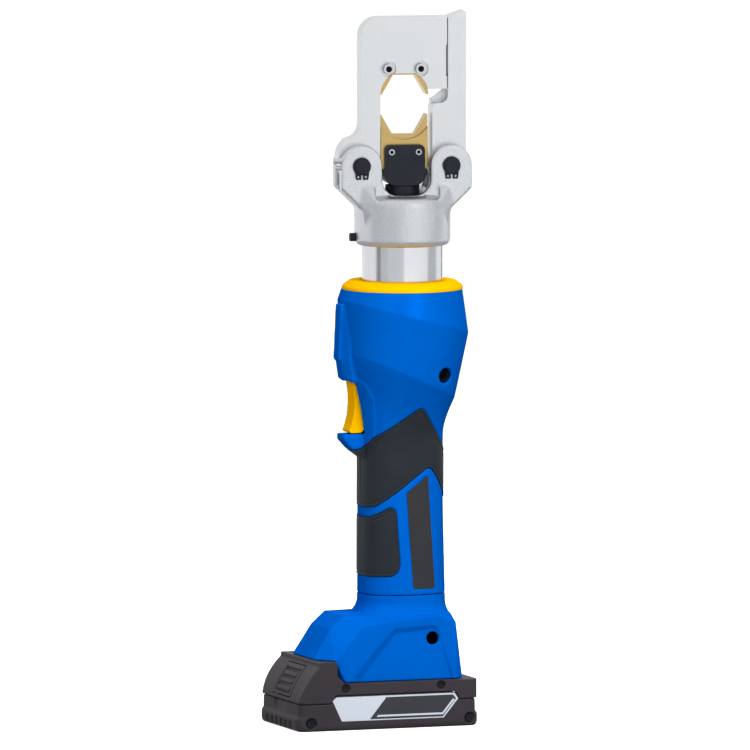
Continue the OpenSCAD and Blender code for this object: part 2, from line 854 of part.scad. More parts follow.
module terminal_block() {
    base = shelf_z + over;
    color(rubber) difference() {
        union() {
            translate([blade_x - 13.6, 0.4 - block_half, shelf_z - 1])
                cube([39.2, 2 * block_half - 0.8, terminal_h + 2]);
            translate([blade_x - 16, -block_half - 2, base + shelf_t])
                cube([44, 2 * block_half + 4, terminal_h - shelf_t]);
        }
        for (y = blade_ys) if (abs(y) < block_half)
            translate([blade_x, y - blade_t / 2, shelf_z - over - 1]) cube([blade_len, blade_t, 6]);
    }
}

module terminal_blades() {
    color(gold) for (y = blade_ys) if (abs(y) < block_half)
        translate([blade_x, y - blade_t / 2, battery_shoulder_h + 3])
            cube([blade_len, blade_t, shelf_z - battery_shoulder_h + 1]);
}

module trigger_switch() {
    color(rubber) translate([-block_front - 2.6, -7, grip_top_z - 2]) cube([2.6, 14, 20]);
}

module trigger_pin() {
    half = trigger_w / 2 + 2.6;
    color(steel) side_cylinder(pivot_r, pivot_x, pivot_z, -half, half);
}

module trigger() {
    low = rest_top_z + 0.6;
    hub_r = 3.2;
    color(yellow) across(trigger_w) difference() {
        union() {
            translate([pivot_x, 0]) polygon([[-2.7, guard_z - 0.4], [-1.8, guard_z - 7], [-1.6, guard_z - 14],
                [-2.4, guard_z - 22], [-4, guard_z - 28], [-5.4, low + 1], [-4.4, low], [3.8, low],
                [5.6, low + 4.4], [4.8, guard_z - 12], [hub_r, pivot_z], [0.6 - hub_r, pivot_z]]);
            translate([pivot_x, pivot_z]) circle(hub_r);
        }
        translate([pivot_x, pivot_z]) circle(pivot_r + run_gap);
    }
}

// Head: cylinder, clevis, pins

module cylinder_body() {
    difference() {
        union() {
            translate([0, 0, cyl_base_z]) cylinder(h = flange_h, r = flange_r);
            translate([0, 0, cyl_base_z]) cylinder(h = cyl_top_z - cyl_base_z, r = cyl_r);
            translate([0, 0, block_top_z - spigot_h]) cylinder(h = spigot_h + swivel_gap + over, r = spigot_r);
        }
        translate([0, 0, cyl_base_z + cyl_floor]) cylinder(h = far, r = bore_r);
        translate([0, 0, block_z]) cylinder(h = far, r = 2);
    }
}

module cylinder_node() {
    color(steel) in_head() cylinder_body();
}

module ear_outline() {
    difference() {
        union() for (s = [-1, 1]) {
            translate([s * half_span, pin_z]) circle(ear_r);
            polygon([[s * ear_inner, pin_z], [s * (half_span + ear_r), pin_z],
                [s * (half_span + ear_r), ear_foot_z], [s * collar_r, ear_foot_z - 11.4],
                [s * (collar_r - 6), ear_foot_z - 16], [s * ear_inner, ear_foot_z - 16]]);
            polygon([[0, lip_z - 8], [s * ear_inner, lip_z - 8], [s * ear_inner, lip_z + window_corner],
                [0, lip_z + 0.01]]);
        }
        // Window with rounded lower corners
        translate([0, lip_z + window_corner]) hull() for (s = [-1, 1])
            translate([s * (ear_inner - window_corner), 0]) circle(window_corner);
    }
}

module head_base() {
    slot = arm_t + 2 * slot_gap;
    color(steel) in_head() difference() {
        union() {
            difference() {
                rotate_extrude() polygon(concat([[0, collar_z], [collar_r - collar_chamfer * 0.7, collar_z],
                    [collar_r, collar_z + collar_chamfer]],
                    [for (p = lip_round) [collar_r - p[0], lip_z - p[1]]], [[rim_r, lip_z], [0, lip_z]]));
                translate([0, 0, lip_z - throat_h])
                    cylinder(h = throat_h + slice_t, r1 = throat_r, r2 = rim_r - over);
            }
            difference() {
                across(clevis_d) ear_outline();
                // Slots for the arms
                for (s = [-1, 1]) translate([s > 0 ? ear_inner - 4 : -far - ear_inner + 4, -slot / 2,
                    pin_z - boss_r - lobe_room]) cube([far, slot, far]);
            }
        }
        translate([0, 0, collar_z - over]) cylinder(h = collar_seat_h + over, r = cyl_r);
        translate([0, 0, collar_z]) cylinder(h = lip_z + 8 - collar_z, r = throat_r);
        for (s = [-1, 1]) side_cylinder(pin_r, s * half_span, pin_z, -far, far);
        translate([-far - cyl_r, 0, collar_z + 5.2]) rotate([0, 90, 0]) cylinder(h = far, r = 2.7);
    }
}

module lock_screw() {
    color(black_steel) in_head() translate([-cyl_r - 0.2, 0, collar_z + 5.2]) rotate([0, -90, 0]) difference() {
        cylinder(h = collar_r - cyl_r + 3.2, r = 2.7);
        translate([0, 0, collar_r - cyl_r + 1.2]) cylinder(h = 4, r = 1.6, $fn = 6);
    }
}

module cylinder_gland() {
    color(black_steel) in_head() translate([0, 0, gland_z]) tube(bore_r, rod_r + run_gap, gland_h);
}

module hinge_pin(s) {
    half = clevis_d / 2 + pin_stick;
    color(black_steel) in_head() translate([s * half_span, 0, pin_z]) rotate([90, 0, 0]) difference() {
        translate([0, 0, -half]) cylinder(h = 2 * half, r = pin_r);
        for (z = [-clevis_d / 2 - clip_t, clevis_d / 2]) translate([0, 0, z])
            tube(pin_r + over, pin_r - clip_groove, clip_t);
    }
}

module arm_pin() {
    hinge_pin(-1);
}

module latch_pin() {
    hinge_pin(1);
}

// Retaining ring with two eyes below its gap
module circlip() {
    lug = 4.2;
    linear_extrude(clip_t) difference() {
        union() {
            circle(pin_r + 1);
            polygon([[-pin_r, -2], [pin_r, -2], [lug, -pin_r - 2], [lug - 0.4, -pin_r - 3.8],
                [0.4 - lug, -pin_r - 3.8], [-lug, -pin_r - 2]]);
        }
        circle(pin_r - clip_groove);
        translate([-0.6, -far / 2]) square([1.2, far / 2]);
        for (s = [-1, 1]) translate([s * lug * 0.58, -pin_r - 2.1]) circle(0.75);
    }
}

module pin_circlips() {
    color(black_steel) in_head() for (s = [-1, 1], y = [-clevis_d / 2, clevis_d / 2 + clip_t])
        translate([s * half_span, y, pin_z]) rotate([90, 0, 0]) circlip();
}

module return_spring() {
    color(steel) in_head() translate([0, 0, piston_z + piston_h])
        coil((bore_r + rod_r) / 2, 1.1, gland_z - piston_z - piston_h, 7);
}

// Ram with its dies

module ram() {
    color(steel) in_head() difference() {
        union() {
            translate([0, 0, piston_z]) cylinder(h = piston_h, r = bore_r - run_gap);
            translate([0, 0, piston_z]) cylinder(h = holder_z - piston_z, r = rod_r);
            translate([0, 0, holder_z - over]) cylinder(h = holder_bore + over, r = rod_r * 0.55);
        }
        translate([0, 0, piston_z + 5]) tube(bore_r + over, bore_r - 3, 4);
    }
}

module piston_seal() {
    color(rubber) in_head() translate([0, 0, piston_z + 5]) tube(bore_r - run_gap, bore_r - 3, 4);
}

module die_holder() {
    half = holder_w / 2;
    cheek = half - 1.3;
    cheek_corner = 3.4;
    color(black_steel) in_head() difference() {
        across(holder_t) {
            translate([-half, holder_z + holder_corner])
                square([holder_w, holder_slot_z - holder_z - holder_corner]);
            intersection() {
                translate([-half, holder_z]) square([holder_w, holder_corner + over]);
                translate([0, holder_z + holder_corner]) hull() for (s = [-1, 1])
                    translate([s * (half - holder_corner), 0]) circle(holder_corner);
            }
            // Cheeks with rounded upper corners
            hull() {
                translate([-cheek, holder_slot_z - over]) square([2 * cheek, over]);
                for (s = [-1, 1]) translate([s * (cheek - cheek_corner), holder_top_z - cheek_corner])
                    circle(cheek_corner);
            }
        }
        translate([-far / 2, -die_t / 2 - 0.1, holder_slot_z]) cube([far, die_t + 0.2, far]);
        translate([0, 0, holder_z - over]) cylinder(h = holder_bore + over, r = rod_r * 0.55);
        for (s = [-1, 1]) side_cylinder(lower_pin_r + run_gap, s * lower_pin_u, lower_pin_z, -far, 0);
        // Thinned upper part of the front cheek
        translate([-far / 2, -holder_t / 2 - over, holder_top_z - 9]) cube([far, over + 0.5, far]);
    }
}

// Half of the hexagon, tips level with z = 0, opening down for dir = -1 and up for dir = 1
module half_hex(dir) {
    s = hex_side;
    polygon([[-s - 4, dir * 7], [-s, 0], [-s / 2, -dir * hex_af / 2], [s / 2, -dir * hex_af / 2], [s, 0],
        [s + 4, dir * 7]]);
}

module lower_die() {
    seat = holder_top_z - 15;
    groove = 1.8;
    color(gold) in_head() difference() {
        union() {
            across(die_t) difference() {
                translate([-die_half, seat]) square([2 * die_half, low_tip_z - seat]);
                translate([0, low_tip_z]) half_hex(1);
            }
            across(die_t) translate([-holder_w / 2, holder_slot_z])
                square([holder_w, seat - holder_slot_z + over]);
        }
        // Round groove in the faces, and notches for the pins
        for (y = [-1, 1]) translate([0, y * die_t / 2, low_tip_z + 2]) rotate([90, 0, 0])
            translate([0, 0, -groove]) cylinder(h = 2 * groove, r = die_r + 2.6);
        for (s = [-1, 1]) side_cylinder(lower_pin_r + 0.5, s * lower_pin_u, lower_pin_z, -far,
            lower_pin_y + die_pin_travel + over);
    }
}

// Sprung pin with a drilled end, running in along Y
module die_pin(r, len, end) {
    rotate([90, 0, 0]) difference() {
        cylinder(h = len, r = r);
        translate([0, 0, len - end]) cylinder(h = end + over, r = r * 0.55);
    }
}

module lower_die_pin(s) {
    color(steel) in_head() translate([s * lower_pin_u, lower_pin_y, lower_pin_z])
        die_pin(lower_pin_r, holder_t / 2 + lower_pin_y + 0.2, 1.2);
}

module lower_die_pin_left() {
    lower_die_pin(-1);
}

module lower_die_pin_right() {
    lower_die_pin(1);
}

// Arms

module swing_outline() {
    hip = 10;
    hip_z = pin_z + lobe_rise + lobe_r + hip - 2;
    difference() {
        union() {
            translate([-half_span, pin_z]) circle(boss_r);
            translate([-half_span - 0.5, pin_z + lobe_rise]) circle(lobe_r);
            translate([-leg_outer, pin_z]) square([leg_w, tip_z - pin_z]);
            // Concave flare from the leg into the boss
            difference() {
                translate([-leg_outer - hip, pin_z]) square([hip + over, hip_z - pin_z]);
                translate([-leg_outer - hip, hip_z]) circle(hip);
            }
            difference() {
                translate([-leg_outer, tip_z - over]) square([leg_outer + crossbar_end, crossbar_h + over]);
                translate([0, tip_z - 2 * over]) square([far, crossbar_z - tip_z + 2 * over]);
                // Rounded corner over the leg
                translate([-leg_outer - over, top_z - leg_w]) difference() {
                    square([leg_w + over, leg_w + over]);
                    translate([leg_w + over, 0]) circle(leg_w);
                }
            }
        }
        // Seat of the upper die
        translate([0, tip_z]) intersection() {
            circle(die_r);
            translate([-far / 2, -far]) square([far, far + die_crown]);
        }
        translate([-window_left, tip_z - die_r - over]) square([window_left + die_r, die_r + over]);
    }
}

module catch_outline(grow) {
    drop = tongue_len * tan(tongue_slope);
    polygon([[crossbar_end - 2, tongue_low - grow], [crossbar_end + tongue_len + grow, tongue_low - grow],
        [crossbar_end + tongue_len + grow, tongue_high - drop + grow], [crossbar_end, tongue_high + grow * 1.3],
        [crossbar_end - 2, tongue_high + grow * 1.3]]);
}

module swing_arm() {
    color(steel) in_head() difference() {
        union() {
            across(arm_t) swing_outline();
            across(catch_t) catch_outline(0);
        }
        side_cylinder(pin_r + run_gap, -half_span, pin_z, -far, far);
        // Pocket for the die's tongue, and stepped bores for its pins
        translate([-die_r, -tongue_t / 2, tip_z]) cube([2 * die_r, tongue_t, upper_pin_z + 6 - tip_z]);
        for (s = [-1, 1]) {
            side_cylinder(upper_pin_r + run_gap, s * upper_pin_u, upper_pin_z, -far, 0);
            side_cylinder(upper_pin_r + 1.7, s * upper_pin_u, upper_pin_z, -far, 1.6 - arm_t / 2);
        }
        // Relief in the end that faces the latch
        translate([crossbar_end - 0.8, -far / 2, tongue_low - 21.5]) cube([far, far, 20]);
    }
}

module upper_die() {
    color(gold) in_head() difference() {
        union() {
            across(die_t) intersection() {
                translate([0, tip_z]) circle(die_r);
                translate([-far / 2, tip_z]) square([far, die_crown]);
            }
            across(tongue_t) translate([body_gap - die_r, tip_z + 3])
                square([2 * (die_r - body_gap), upper_pin_z + 2.6 - tip_z]);
        }
        across(far) translate([0, tip_z]) half_hex(-1);
        for (s = [-1, 1]) side_cylinder(upper_pin_r + 0.5, s * upper_pin_u, upper_pin_z, -far, far);
    }
}

module upper_die_pin(s) {
    color(steel) in_head() translate([s * upper_pin_u, upper_pin_y, upper_pin_z])
        die_pin(upper_pin_r, arm_t / 2 + upper_pin_y + die_pin_travel, 3);
}

module upper_die_pin_left() {
    upper_die_pin(-1);
}

module upper_die_pin_right() {
    upper_die_pin(1);
}

module latch_outline() {
    ledge_fillet = 5;
    union() {
        translate([half_span, pin_z]) circle(boss_r);
        difference() {
            translate([window_right, pin_z + 6]) square([latch_outer - window_right, ledge_z - pin_z - 6]);
            // Rounded ledge corner
            translate([window_right, ledge_z - 3]) difference() {
                translate([-over, 0]) square([3 + over, 3 + over]);
                translate([3, 0]) circle(3);
            }
        }
        difference() {
            translate([latch_inner - ledge_fillet, ledge_z - over])
                square([ledge_fillet + over, ledge_fillet + over]);
            translate([latch_inner - ledge_fillet, ledge_z + ledge_fillet]) circle(ledge_fillet);
        }
        polygon([[latch_inner, ledge_z - over], [latch_outer, ledge_z - over], [latch_outer, latch_top_z - 0.6],
            [latch_outer - 0.8, latch_top_z], [latch_inner + 3, top_z + 0.8], [latch_inner, top_z - 0.6]]);
    }
}

module latch_arm() {
    color(steel) in_head() difference() {
        union() {
            across(arm_t) latch_outline();
            translate([0, arm_t / 4, 0]) across(arm_t / 2) polygon([[window_right + 0.6, ledge_z - over],
                [window_right + 0.6, ledge_z + 2], [window_right + 4, ledge_z + 3.8],
                [crossbar_end - body_gap, crossbar_z - 2 * body_gap],
                [latch_inner + over, crossbar_z - 2 * body_gap],
                [latch_inner + over, ledge_z - over]]);
        }
        side_cylinder(pin_r + run_gap, half_span, pin_z, -far, far);
        across(catch_t + 2 * body_gap) catch_outline(body_gap);
    }
}

// Battery

function hump_centre() = let (
    p = [-battery_front, battery_lower_h + parting_gap], q = [hump_lean - battery_front, battery_hump_h],
    chord = norm(q - p), r = (chord * chord / 4 + battery_bulge * battery_bulge) / (2 * battery_bulge),
    d = (q - p) / chord, m = (p + q) / 2)
    [m[0] + d[1] * (r - battery_bulge), m[1] - d[0] * (r - battery_bulge), r];

// Side outline of the upper case, drawn in by an inset
module upper_case_outline(inset) {
    c = hump_centre();
    low = battery_lower_h + parting_gap - (inset > 0 ? over : 0);
    intersection() {
        translate([c[0], c[1]]) circle(c[2] - inset, $fn = 128);
        translate([-far, low]) square([far + step_x - inset, battery_hump_h - inset - low]);
    }
    rear = battery_rear - inset;
    top = battery_shoulder_h - inset;
    hump_top = battery_hump_h - inset;
    polygon([[step_x - hump_back, low], [rear, low], [rear, top], [step_x + 5.6 - inset, top],
        [step_x + 0.2 - inset, top + 5], [step_x - inset, hump_top], [step_x - hump_back, hump_top]]);
}

module case_plan(h, inset) {
    linear_extrude(h) rounded_plan(inset - battery_front - over, battery_rear - inset, case_half - inset,
        battery_corner - inset);
}

// Raised stretch of the lower case behind the side plates
module side_tab(grow) {
    top = battery_lower_h + tab_h + grow;
    across(2 * case_half) polygon([[-62 - grow, battery_lower_h - over], [-58 - grow, top], [22.4 + grow, top],
        [26 + grow, battery_lower_h - over]]);
}

module plate_shape(grow) {
    polygon([[-61 - grow, 19.6], [-58 - grow, 21.8 + grow], [22 + grow, 21.8 + grow], [24.6 + grow, 18],
        [14.6 + grow, 6 - grow], [-54.6 - grow, 6 - grow]]);
}

module side_plate_recess(depth, grow) {
    for (y = [depth / 2 - case_half, case_half - depth / 2]) translate([0, y, 0]) across(depth + slice_t)
        plate_shape(grow);
}

// Blind seats for the screws in both sides of the case
module screw_seats(r, x, z) {
    for (side = [-1, 1]) side_cylinder(r, x, z, side > 0 ? case_half - screw_sunk : -case_half - over,
        side > 0 ? case_half + over : screw_sunk - case_half);
}

module battery_lower_case() {
    color(dark) difference() {
        union() {
            case_plan(battery_lower_h, 0);
            intersection() {
                side_tab(0);
                case_plan(far, 0);
            }
        }
        translate([0, 0, floor_t]) case_plan(far, lower_wall);
        side_plate_recess(plate_t, 0);
        for (x = lower_screw_xs) screw_seats(lower_screw_r + 0.1, x, lower_screw_z);
    }
}

module battery_upper_case() {
    tower_z = battery_shoulder_h + tower_h;
    front_open = button_w / 2 + body_gap;
    color(dark) difference() {
        union() {
            intersection() {
                across(2 * case_half) upper_case_outline(0);
                case_plan(far, 0);
            }
            translate([tower_front, -tower_w / 2, battery_shoulder_h - battery_wall])
                cube([tower_rear - tower_front, tower_w, tower_h + battery_wall]);
        }
        intersection() {
            across(far) upper_case_outline(battery_wall);
            case_plan(far, lower_wall);
        }
        side_tab(parting_gap);
        // Hollow under the tower, slots for the blades, and the button's opening
        translate([tower_front + 3, 3 - tower_w / 2, battery_lower_h])
            cube([blade_x - tower_front - 8, tower_w - 6, tower_z - 3 - battery_lower_h]);
        for (y = blade_ys) translate([blade_x - 2, y - 1.2, battery_shoulder_h + 2]) cube([far, 2.4, far]);
        translate([-far, -front_open, battery_lower_h + 3])
            cube([far - battery_front + button_back + button_travel + over, 2 * front_open,
                battery_hump_h - battery_lower_h - 7]);
        for (x = upper_screw_xs) screw_seats(upper_screw_r + 0.1, x, upper_screw_z);
    }
}

module battery_side_plates() {
    color(steel) side_plate_recess(plate_t, -slice_t);
}

module battery_screws() {
    // Level of the heads under the case's side, deeper where the corners round off
    upper_y = case_half - over;
    lower_y = case_half - 1.7;
    low = case_half - screw_sunk;
    color(black_steel) for (side = [-1, 1]) {
        for (x = upper_screw_xs) side_cylinder(upper_screw_r, x, upper_screw_z,
            side > 0 ? low : -upper_y, side > 0 ? upper_y : -low);
        for (x = lower_screw_xs) side_cylinder(lower_screw_r, x, lower_screw_z,
            side > 0 ? low : -lower_y, side > 0 ? lower_y : -low);
    }
}

module battery_cells() {
    pitch = 2 * cell_r + 0.2;
    middle = (battery_rear - battery_front) / 2 + 0.5;
    color("seagreen") for (i = [0:4]) side_cylinder(cell_r, (i - 2) * pitch + middle, floor_t + cell_r,
        -cell_len / 2, cell_len / 2);
}

module release_button() {
    z0 = battery_lower_h + 3 + body_gap;
    z1 = battery_hump_h - 4 - body_gap;
    c = hump_centre();
    color(rubber) intersection() {
        across(button_w) difference() {
            translate([c[0], c[1]]) circle(c[2] + 0.5, $fn = 128);
            translate([c[0], c[1]]) circle(c[2] - 4, $fn = 128);
            // Grip ribs
            for (k = [0:4]) translate([c[0], c[1]]) rotate(155 - 5.4 * k)
                translate([c[2] + 0.9, 0]) circle(0.9, $fn = 24);
        }
        translate([-far, -far / 2, z0]) cube([far - battery_front + button_back, far, z1 - z0]);
    }
}

left_shell();
right_shell();
collar_ring();
left_upper_grip();
right_upper_grip();
left_lower_grip();
right_lower_grip();
name_plates();
left_foot_shell();
right_foot_shell();
shell_screws();
pump_block();
oil_reservoir();
oil_line();
rotary_seal();
ring_gear();
motor_can();
motor_magnets();
shaft_bearings();
control_board();
terminal_block();
terminal_blades();
trigger_switch();
trigger_pin();
motor_rotor();
sun_gear();
planet_carrier();
eccentric_bearing();
planet_gear_1();
planet_gear_2();
planet_gear_3();
pump_plunger();
cylinder_node();  // cylinder
head_base();
cylinder_gland();
lock_screw();
arm_pin();
latch_pin();
pin_circlips();
return_spring();
ram();
piston_seal();
die_holder();
lower_die();
lower_die_pin_left();
lower_die_pin_right();
swing_arm();
upper_die();
upper_die_pin_left();
upper_die_pin_right();
latch_arm();
trigger();
battery_lower_case();
battery_upper_case();
battery_side_plates();
battery_screws();
battery_cells();
release_button();
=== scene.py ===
"""Studio scene of a battery-powered hydraulic crimping tool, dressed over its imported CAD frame."""

import logging
import math
from dataclasses import astuple, dataclass, field
from enum import Enum
from typing import Any

import bmesh
import bpy
from mathutils import Matrix, Vector


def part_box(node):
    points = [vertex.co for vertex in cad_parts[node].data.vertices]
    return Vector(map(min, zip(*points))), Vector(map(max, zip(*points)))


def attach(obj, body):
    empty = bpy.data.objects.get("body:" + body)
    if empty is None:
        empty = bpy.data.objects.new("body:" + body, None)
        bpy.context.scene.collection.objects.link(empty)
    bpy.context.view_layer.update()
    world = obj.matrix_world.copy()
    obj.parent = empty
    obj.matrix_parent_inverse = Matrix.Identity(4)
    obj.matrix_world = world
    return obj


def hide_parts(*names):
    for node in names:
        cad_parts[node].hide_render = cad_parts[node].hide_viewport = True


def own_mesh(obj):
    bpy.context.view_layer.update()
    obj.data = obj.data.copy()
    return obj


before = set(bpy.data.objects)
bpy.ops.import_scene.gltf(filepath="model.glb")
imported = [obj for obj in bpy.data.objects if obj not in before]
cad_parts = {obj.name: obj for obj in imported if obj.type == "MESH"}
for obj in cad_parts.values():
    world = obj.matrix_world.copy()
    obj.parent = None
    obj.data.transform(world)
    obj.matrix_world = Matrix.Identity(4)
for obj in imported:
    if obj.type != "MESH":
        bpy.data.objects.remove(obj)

LOG = logging.getLogger("crimping_tool")
MM = 0.001
# Millimetres past a face, so that a cut is clean
OVER = 1.0
# Millimetres, larger than the tool, for cutting slabs
FAR = 300.0
# Half the gap between two shells at their seam
SEAM_GAP = 0.03
# Split corners closer than this are joined
WELD = 0.002
# Least angle of an edge that is bevelled, and of one that is shaded sharp
BEVEL_ANGLE = math.radians(35)
SHARP_ANGLE = math.radians(60)
# Bore of the housing and its ring for the cylinder
RING_BORE = 26.4
# Axis and width of the trigger
PIVOT_X = -33.2
TRIGGER_W = 14.0
# Where the battery's hump ends, and the level of the case behind it
STEP_X = -57.4
SHOULDER = 30.0

Point = tuple[float, float]
Point3 = tuple[float, float, float]


class Body(str, Enum):
    """The moving bodies that new pieces ride on."""

    HOUSING = "housing"
    HEAD = "head"
    TRIGGER = "trigger"
    BATTERY = "battery"
    BUTTON = "button"
    UPPER_LEFT = "upper_pin_left"
    UPPER_RIGHT = "upper_pin_right"
    LOWER_LEFT = "lower_pin_left"
    LOWER_RIGHT = "lower_pin_right"


class Slot(str, Enum):
    """The record's material slots, one named with each new piece."""

    HOUSING = "housing_plastic"
    ACCENT = "accent_plastic"
    GRIP = "grip_rubber"
    FILM = "plate_film"
    BATTERY = "battery_plastic"
    PLATE = "plate_metal"
    FORGED = "forged_steel"
    DRIVE = "drive_steel"
    BLACK = "black_steel"


class Side(int, Enum):
    """The two halves of the housing, parted at Y = 0."""

    LEFT = -1
    RIGHT = 1

    @property
    def prefix(self) -> str:
        """How the names of this side's pieces start."""
        return self.name.lower() + "_"

    def span(self, near: float, far: float) -> Point:
        """The Y of two distances out on this side, the lower one first."""
        low, high = sorted((self * near, self * far))
        return low, high


class Pattern(str, Enum):
    """How a finish varies over its surface."""

    GRAIN = "grain"
    TURNED = "turned"
    BRUSHED = "brushed"


# Outlines


def rounded(outline: list[Point], radius: float, steps: int = 5) -> list[Point]:
    """Rounds the corners of an outline with arcs.

    Args:
        outline: Corner points in order.
        radius: Corner radius, smaller where the neighbouring edges are short.
        steps: Number of stretches along each arc.

    Returns:
        The points of the rounded outline.
    """
    points: list[Point] = []
    count = len(outline)
    for i in range(count):
        corner = Vector(outline[i])
        before = Vector(outline[i - 1]) - corner
        after = Vector(outline[(i + 1) % count]) - corner
        half_angle = before.angle(after) / 2
        reach = min(radius / math.tan(half_angle), 0.45 * before.length, 0.45 * after.length)
        start = corner + before.normalized() * reach
        end = corner + after.normalized() * reach
        for k in range(steps + 1):
            t = k / steps
            point = start * (1 - t) ** 2 + corner * 2 * t * (1 - t) + end * t**2
            points.append((point.x, point.y))
    return points


def drawn_in(outline: list[Point], distance: float) -> list[Point]:
    """Moves an outline's points towards its inside.

    Args:
        outline: Points in order.
        distance: How far each edge moves in; a negative distance grows the outline.

    Returns:
        The moved points.
    """
    count = len(outline)
    area = sum(a[0] * b[1] - b[0] * a[1] for a, b in zip(outline[-1:] + outline, outline))
    turn = math.copysign(1.0, area)
    points: list[Point] = []
    for i in range(count):
        here = Vector(outline[i])
        into = (here - Vector(outline[i - 1])).normalized()
        out = (Vector(outline[(i + 1) % count]) - here).normalized()
        normal = Vector((-into.y - out.y, into.x + out.x)) * turn
        normal.normalize()
        spread = max(0.4, normal.dot(Vector((-into.y, into.x)) * turn))
        point = here + normal * (distance / spread)
        points.append((point.x, point.y))
    return points


def arc(centre: Point, radius: float, start: float, end: float, steps: int) -> list[Point]:
    """Points along an arc.

    Args:
        centre: Centre of the arc.
        radius: Radius of the arc.
        start: First angle in degrees.
        end: Last angle in degrees.
        steps: Number of stretches.

    Returns:
        The points from start to end.
    """
    angles = [math.radians(start + (end - start) * k / steps) for k in range(steps + 1)]
    return [(centre[0] + radius * math.cos(a), centre[1] + radius * math.sin(a)) for a in angles]


class Solid:
    """A closed mesh in millimetres that can be cut, joined, rounded and placed as a piece."""

    def __init__(self, mesh: bmesh.types.BMesh) -> None:
        """Takes over a bmesh as an object of the scene.

        Args:
            mesh: The closed mesh, which is freed.
        """
        bmesh.ops.recalc_face_normals(mesh, faces=mesh.faces)
        data = bpy.data.meshes.new("solid")
        mesh.to_mesh(data)
        mesh.free()
        self.obj = bpy.data.objects.new("solid", data)
        bpy.context.scene.collection.objects.link(self.obj)

    @classmethod
    def loft(cls, rings: list[list[Vector]]) -> "Solid":
        """Skins a row of rings with the same number of points, and closes both ends.

        Args:
            rings: The rings, from one end to the other.

        Returns:
            The closed solid.
        """
        mesh = bmesh.new()
        rows = [[mesh.verts.new(p) for p in ring] for ring in rings]
        count = len(rows[0])
        for low, high in zip(rows, rows[1:]):
            for j in range(count):
                n = (j + 1) % count
                mesh.faces.new((low[j], low[n], high[n], high[j]))
        mesh.faces.new(list(reversed(rows[0])))
        mesh.faces.new(rows[-1])
        return cls(mesh)

    @classmethod
    def across(cls, outline: list[Point], y0: float, y1: float) -> "Solid":
        """Extrudes a side outline in X and Z across Y."""
        return cls.loft([[Vector((x, y, z)) for x, z in outline] for y in (y0, y1)])

    @classmethod
    def upright(cls, outline: list[Point], z0: float, z1: float) -> "Solid":
        """Extrudes a plan outline in X and Y up Z."""
        return cls.loft([[Vector((x, y, z)) for x, y in outline] for z in (z0, z1)])

    @classmethod
    def box(cls, low: Point3, high: Point3) -> "Solid":
        """A box between two corners."""
        return cls.upright([(low[0], low[1]), (high[0], low[1]), (high[0], high[1]), (low[0], high[1])],
                           low[2], high[2])

    @classmethod
    def bolt(cls, x: float, z: float, radius: float, y0: float, y1: float, sides: int = 48) -> "Solid":
        """A cylinder along Y."""
        return cls.across(arc((x, z), radius, 0, 360 - 360 / sides, sides - 1), y0, y1)

    @classmethod
    def lathe(cls, profile: list[Point], sides: int = 160) -> "Solid":
        """Turns a closed profile of radius and height about Z.

        Args:
            profile: Radius and height of each corner.
            sides: Number of steps in a full turn.

        Returns:
            The turned solid.
        """
        mesh = bmesh.new()
        turns = [math.tau * k / sides for k in range(sides)]
        rows = [[mesh.verts.new((r * math.cos(a), r * math.sin(a), z)) for a in turns] for r, z in profile]
        for i, row in enumerate(rows):
            other = rows[(i + 1) % len(rows)]
            for j in range(sides):
                n = (j + 1) % sides
                mesh.faces.new((row[j], row[n], other[n], other[j]))
        return cls(mesh)

    @classmethod
    def hull(cls, points: list[Point3]) -> "Solid":
        """The convex hull of some points.

        Args:
            points: The points to wrap.

        Returns:
            The closed solid.
        """
        mesh = bmesh.new()
        for point in points:
            mesh.verts.new(point)
        bmesh.ops.convex_hull(mesh, input=mesh.verts)
        loose = [v for v in mesh.verts if not v.link_faces]
        bmesh.ops.delete(mesh, geom=loose, context="VERTS")
        return cls(mesh)

    @classmethod
    def from_node(cls, node: str) -> "Solid":
        """A copy of a CAD node's mesh with its split corners joined.

        Args:
            node: Name of the node.

        Returns:
            The copy, in millimetres.
        """
        mesh = bmesh.new()
        mesh.from_mesh(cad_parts[node].data)
        bmesh.ops.transform(mesh, matrix=Matrix.Scale(1 / MM, 4), verts=mesh.verts)
        bmesh.ops.remove_doubles(mesh, verts=mesh.verts, dist=WELD)
        return cls(mesh)

    def _apply(self) -> "Solid":
        """Makes the modifiers' result the solid's own mesh.

        Returns:
            This solid.
        """
        bpy.context.view_layer.update()
        result = bpy.data.meshes.new_from_object(self.obj.evaluated_get(bpy.context.evaluated_depsgraph_get()))
        old = self.obj.data
        self.obj.modifiers.clear()
        self.obj.data = result
        bpy.data.meshes.remove(old)
        return self

    def _combine(self, other: "Solid", operation: str) -> "Solid":
        """Takes the other solid up in a boolean operation.

        Args:
            other: The solid that is used up.
            operation: UNION, DIFFERENCE or INTERSECT.

        Returns:
            This solid.
        """
        modifier = self.obj.modifiers.new("combine", "BOOLEAN")
        modifier.operation = operation
        modifier.solver = "MANIFOLD"
        modifier.object = other.obj
        self._apply()
        other.discard()
        return self

    def cut(self, *others: "Solid") -> "Solid":
        """Takes the other solids away.

        Args:
            others: The solids that are used up.

        Returns:
            This solid.
        """
        for other in others:
            self._combine(other, "DIFFERENCE")
        return self

    def join(self, *others: "Solid") -> "Solid":
        """Fuses the other solids to this one.

        Args:
            others: The solids that are used up.

        Returns:
            This solid.
        """
        for other in others:
            self._combine(other, "UNION")
        return self

    def keep(self, other: "Solid") -> "Solid":
        """Keeps what lies in the other solid too."""
        return self._combine(other, "INTERSECT")

    def half(self, side: Side) -> "Solid":
        """Keeps one side of Y = 0, drawn back from it by half the seam's gap."""
        low, high = side.span(SEAM_GAP, FAR)
        return self.keep(Solid.box((-FAR, low, -OVER), (FAR, high, 2 * FAR)))

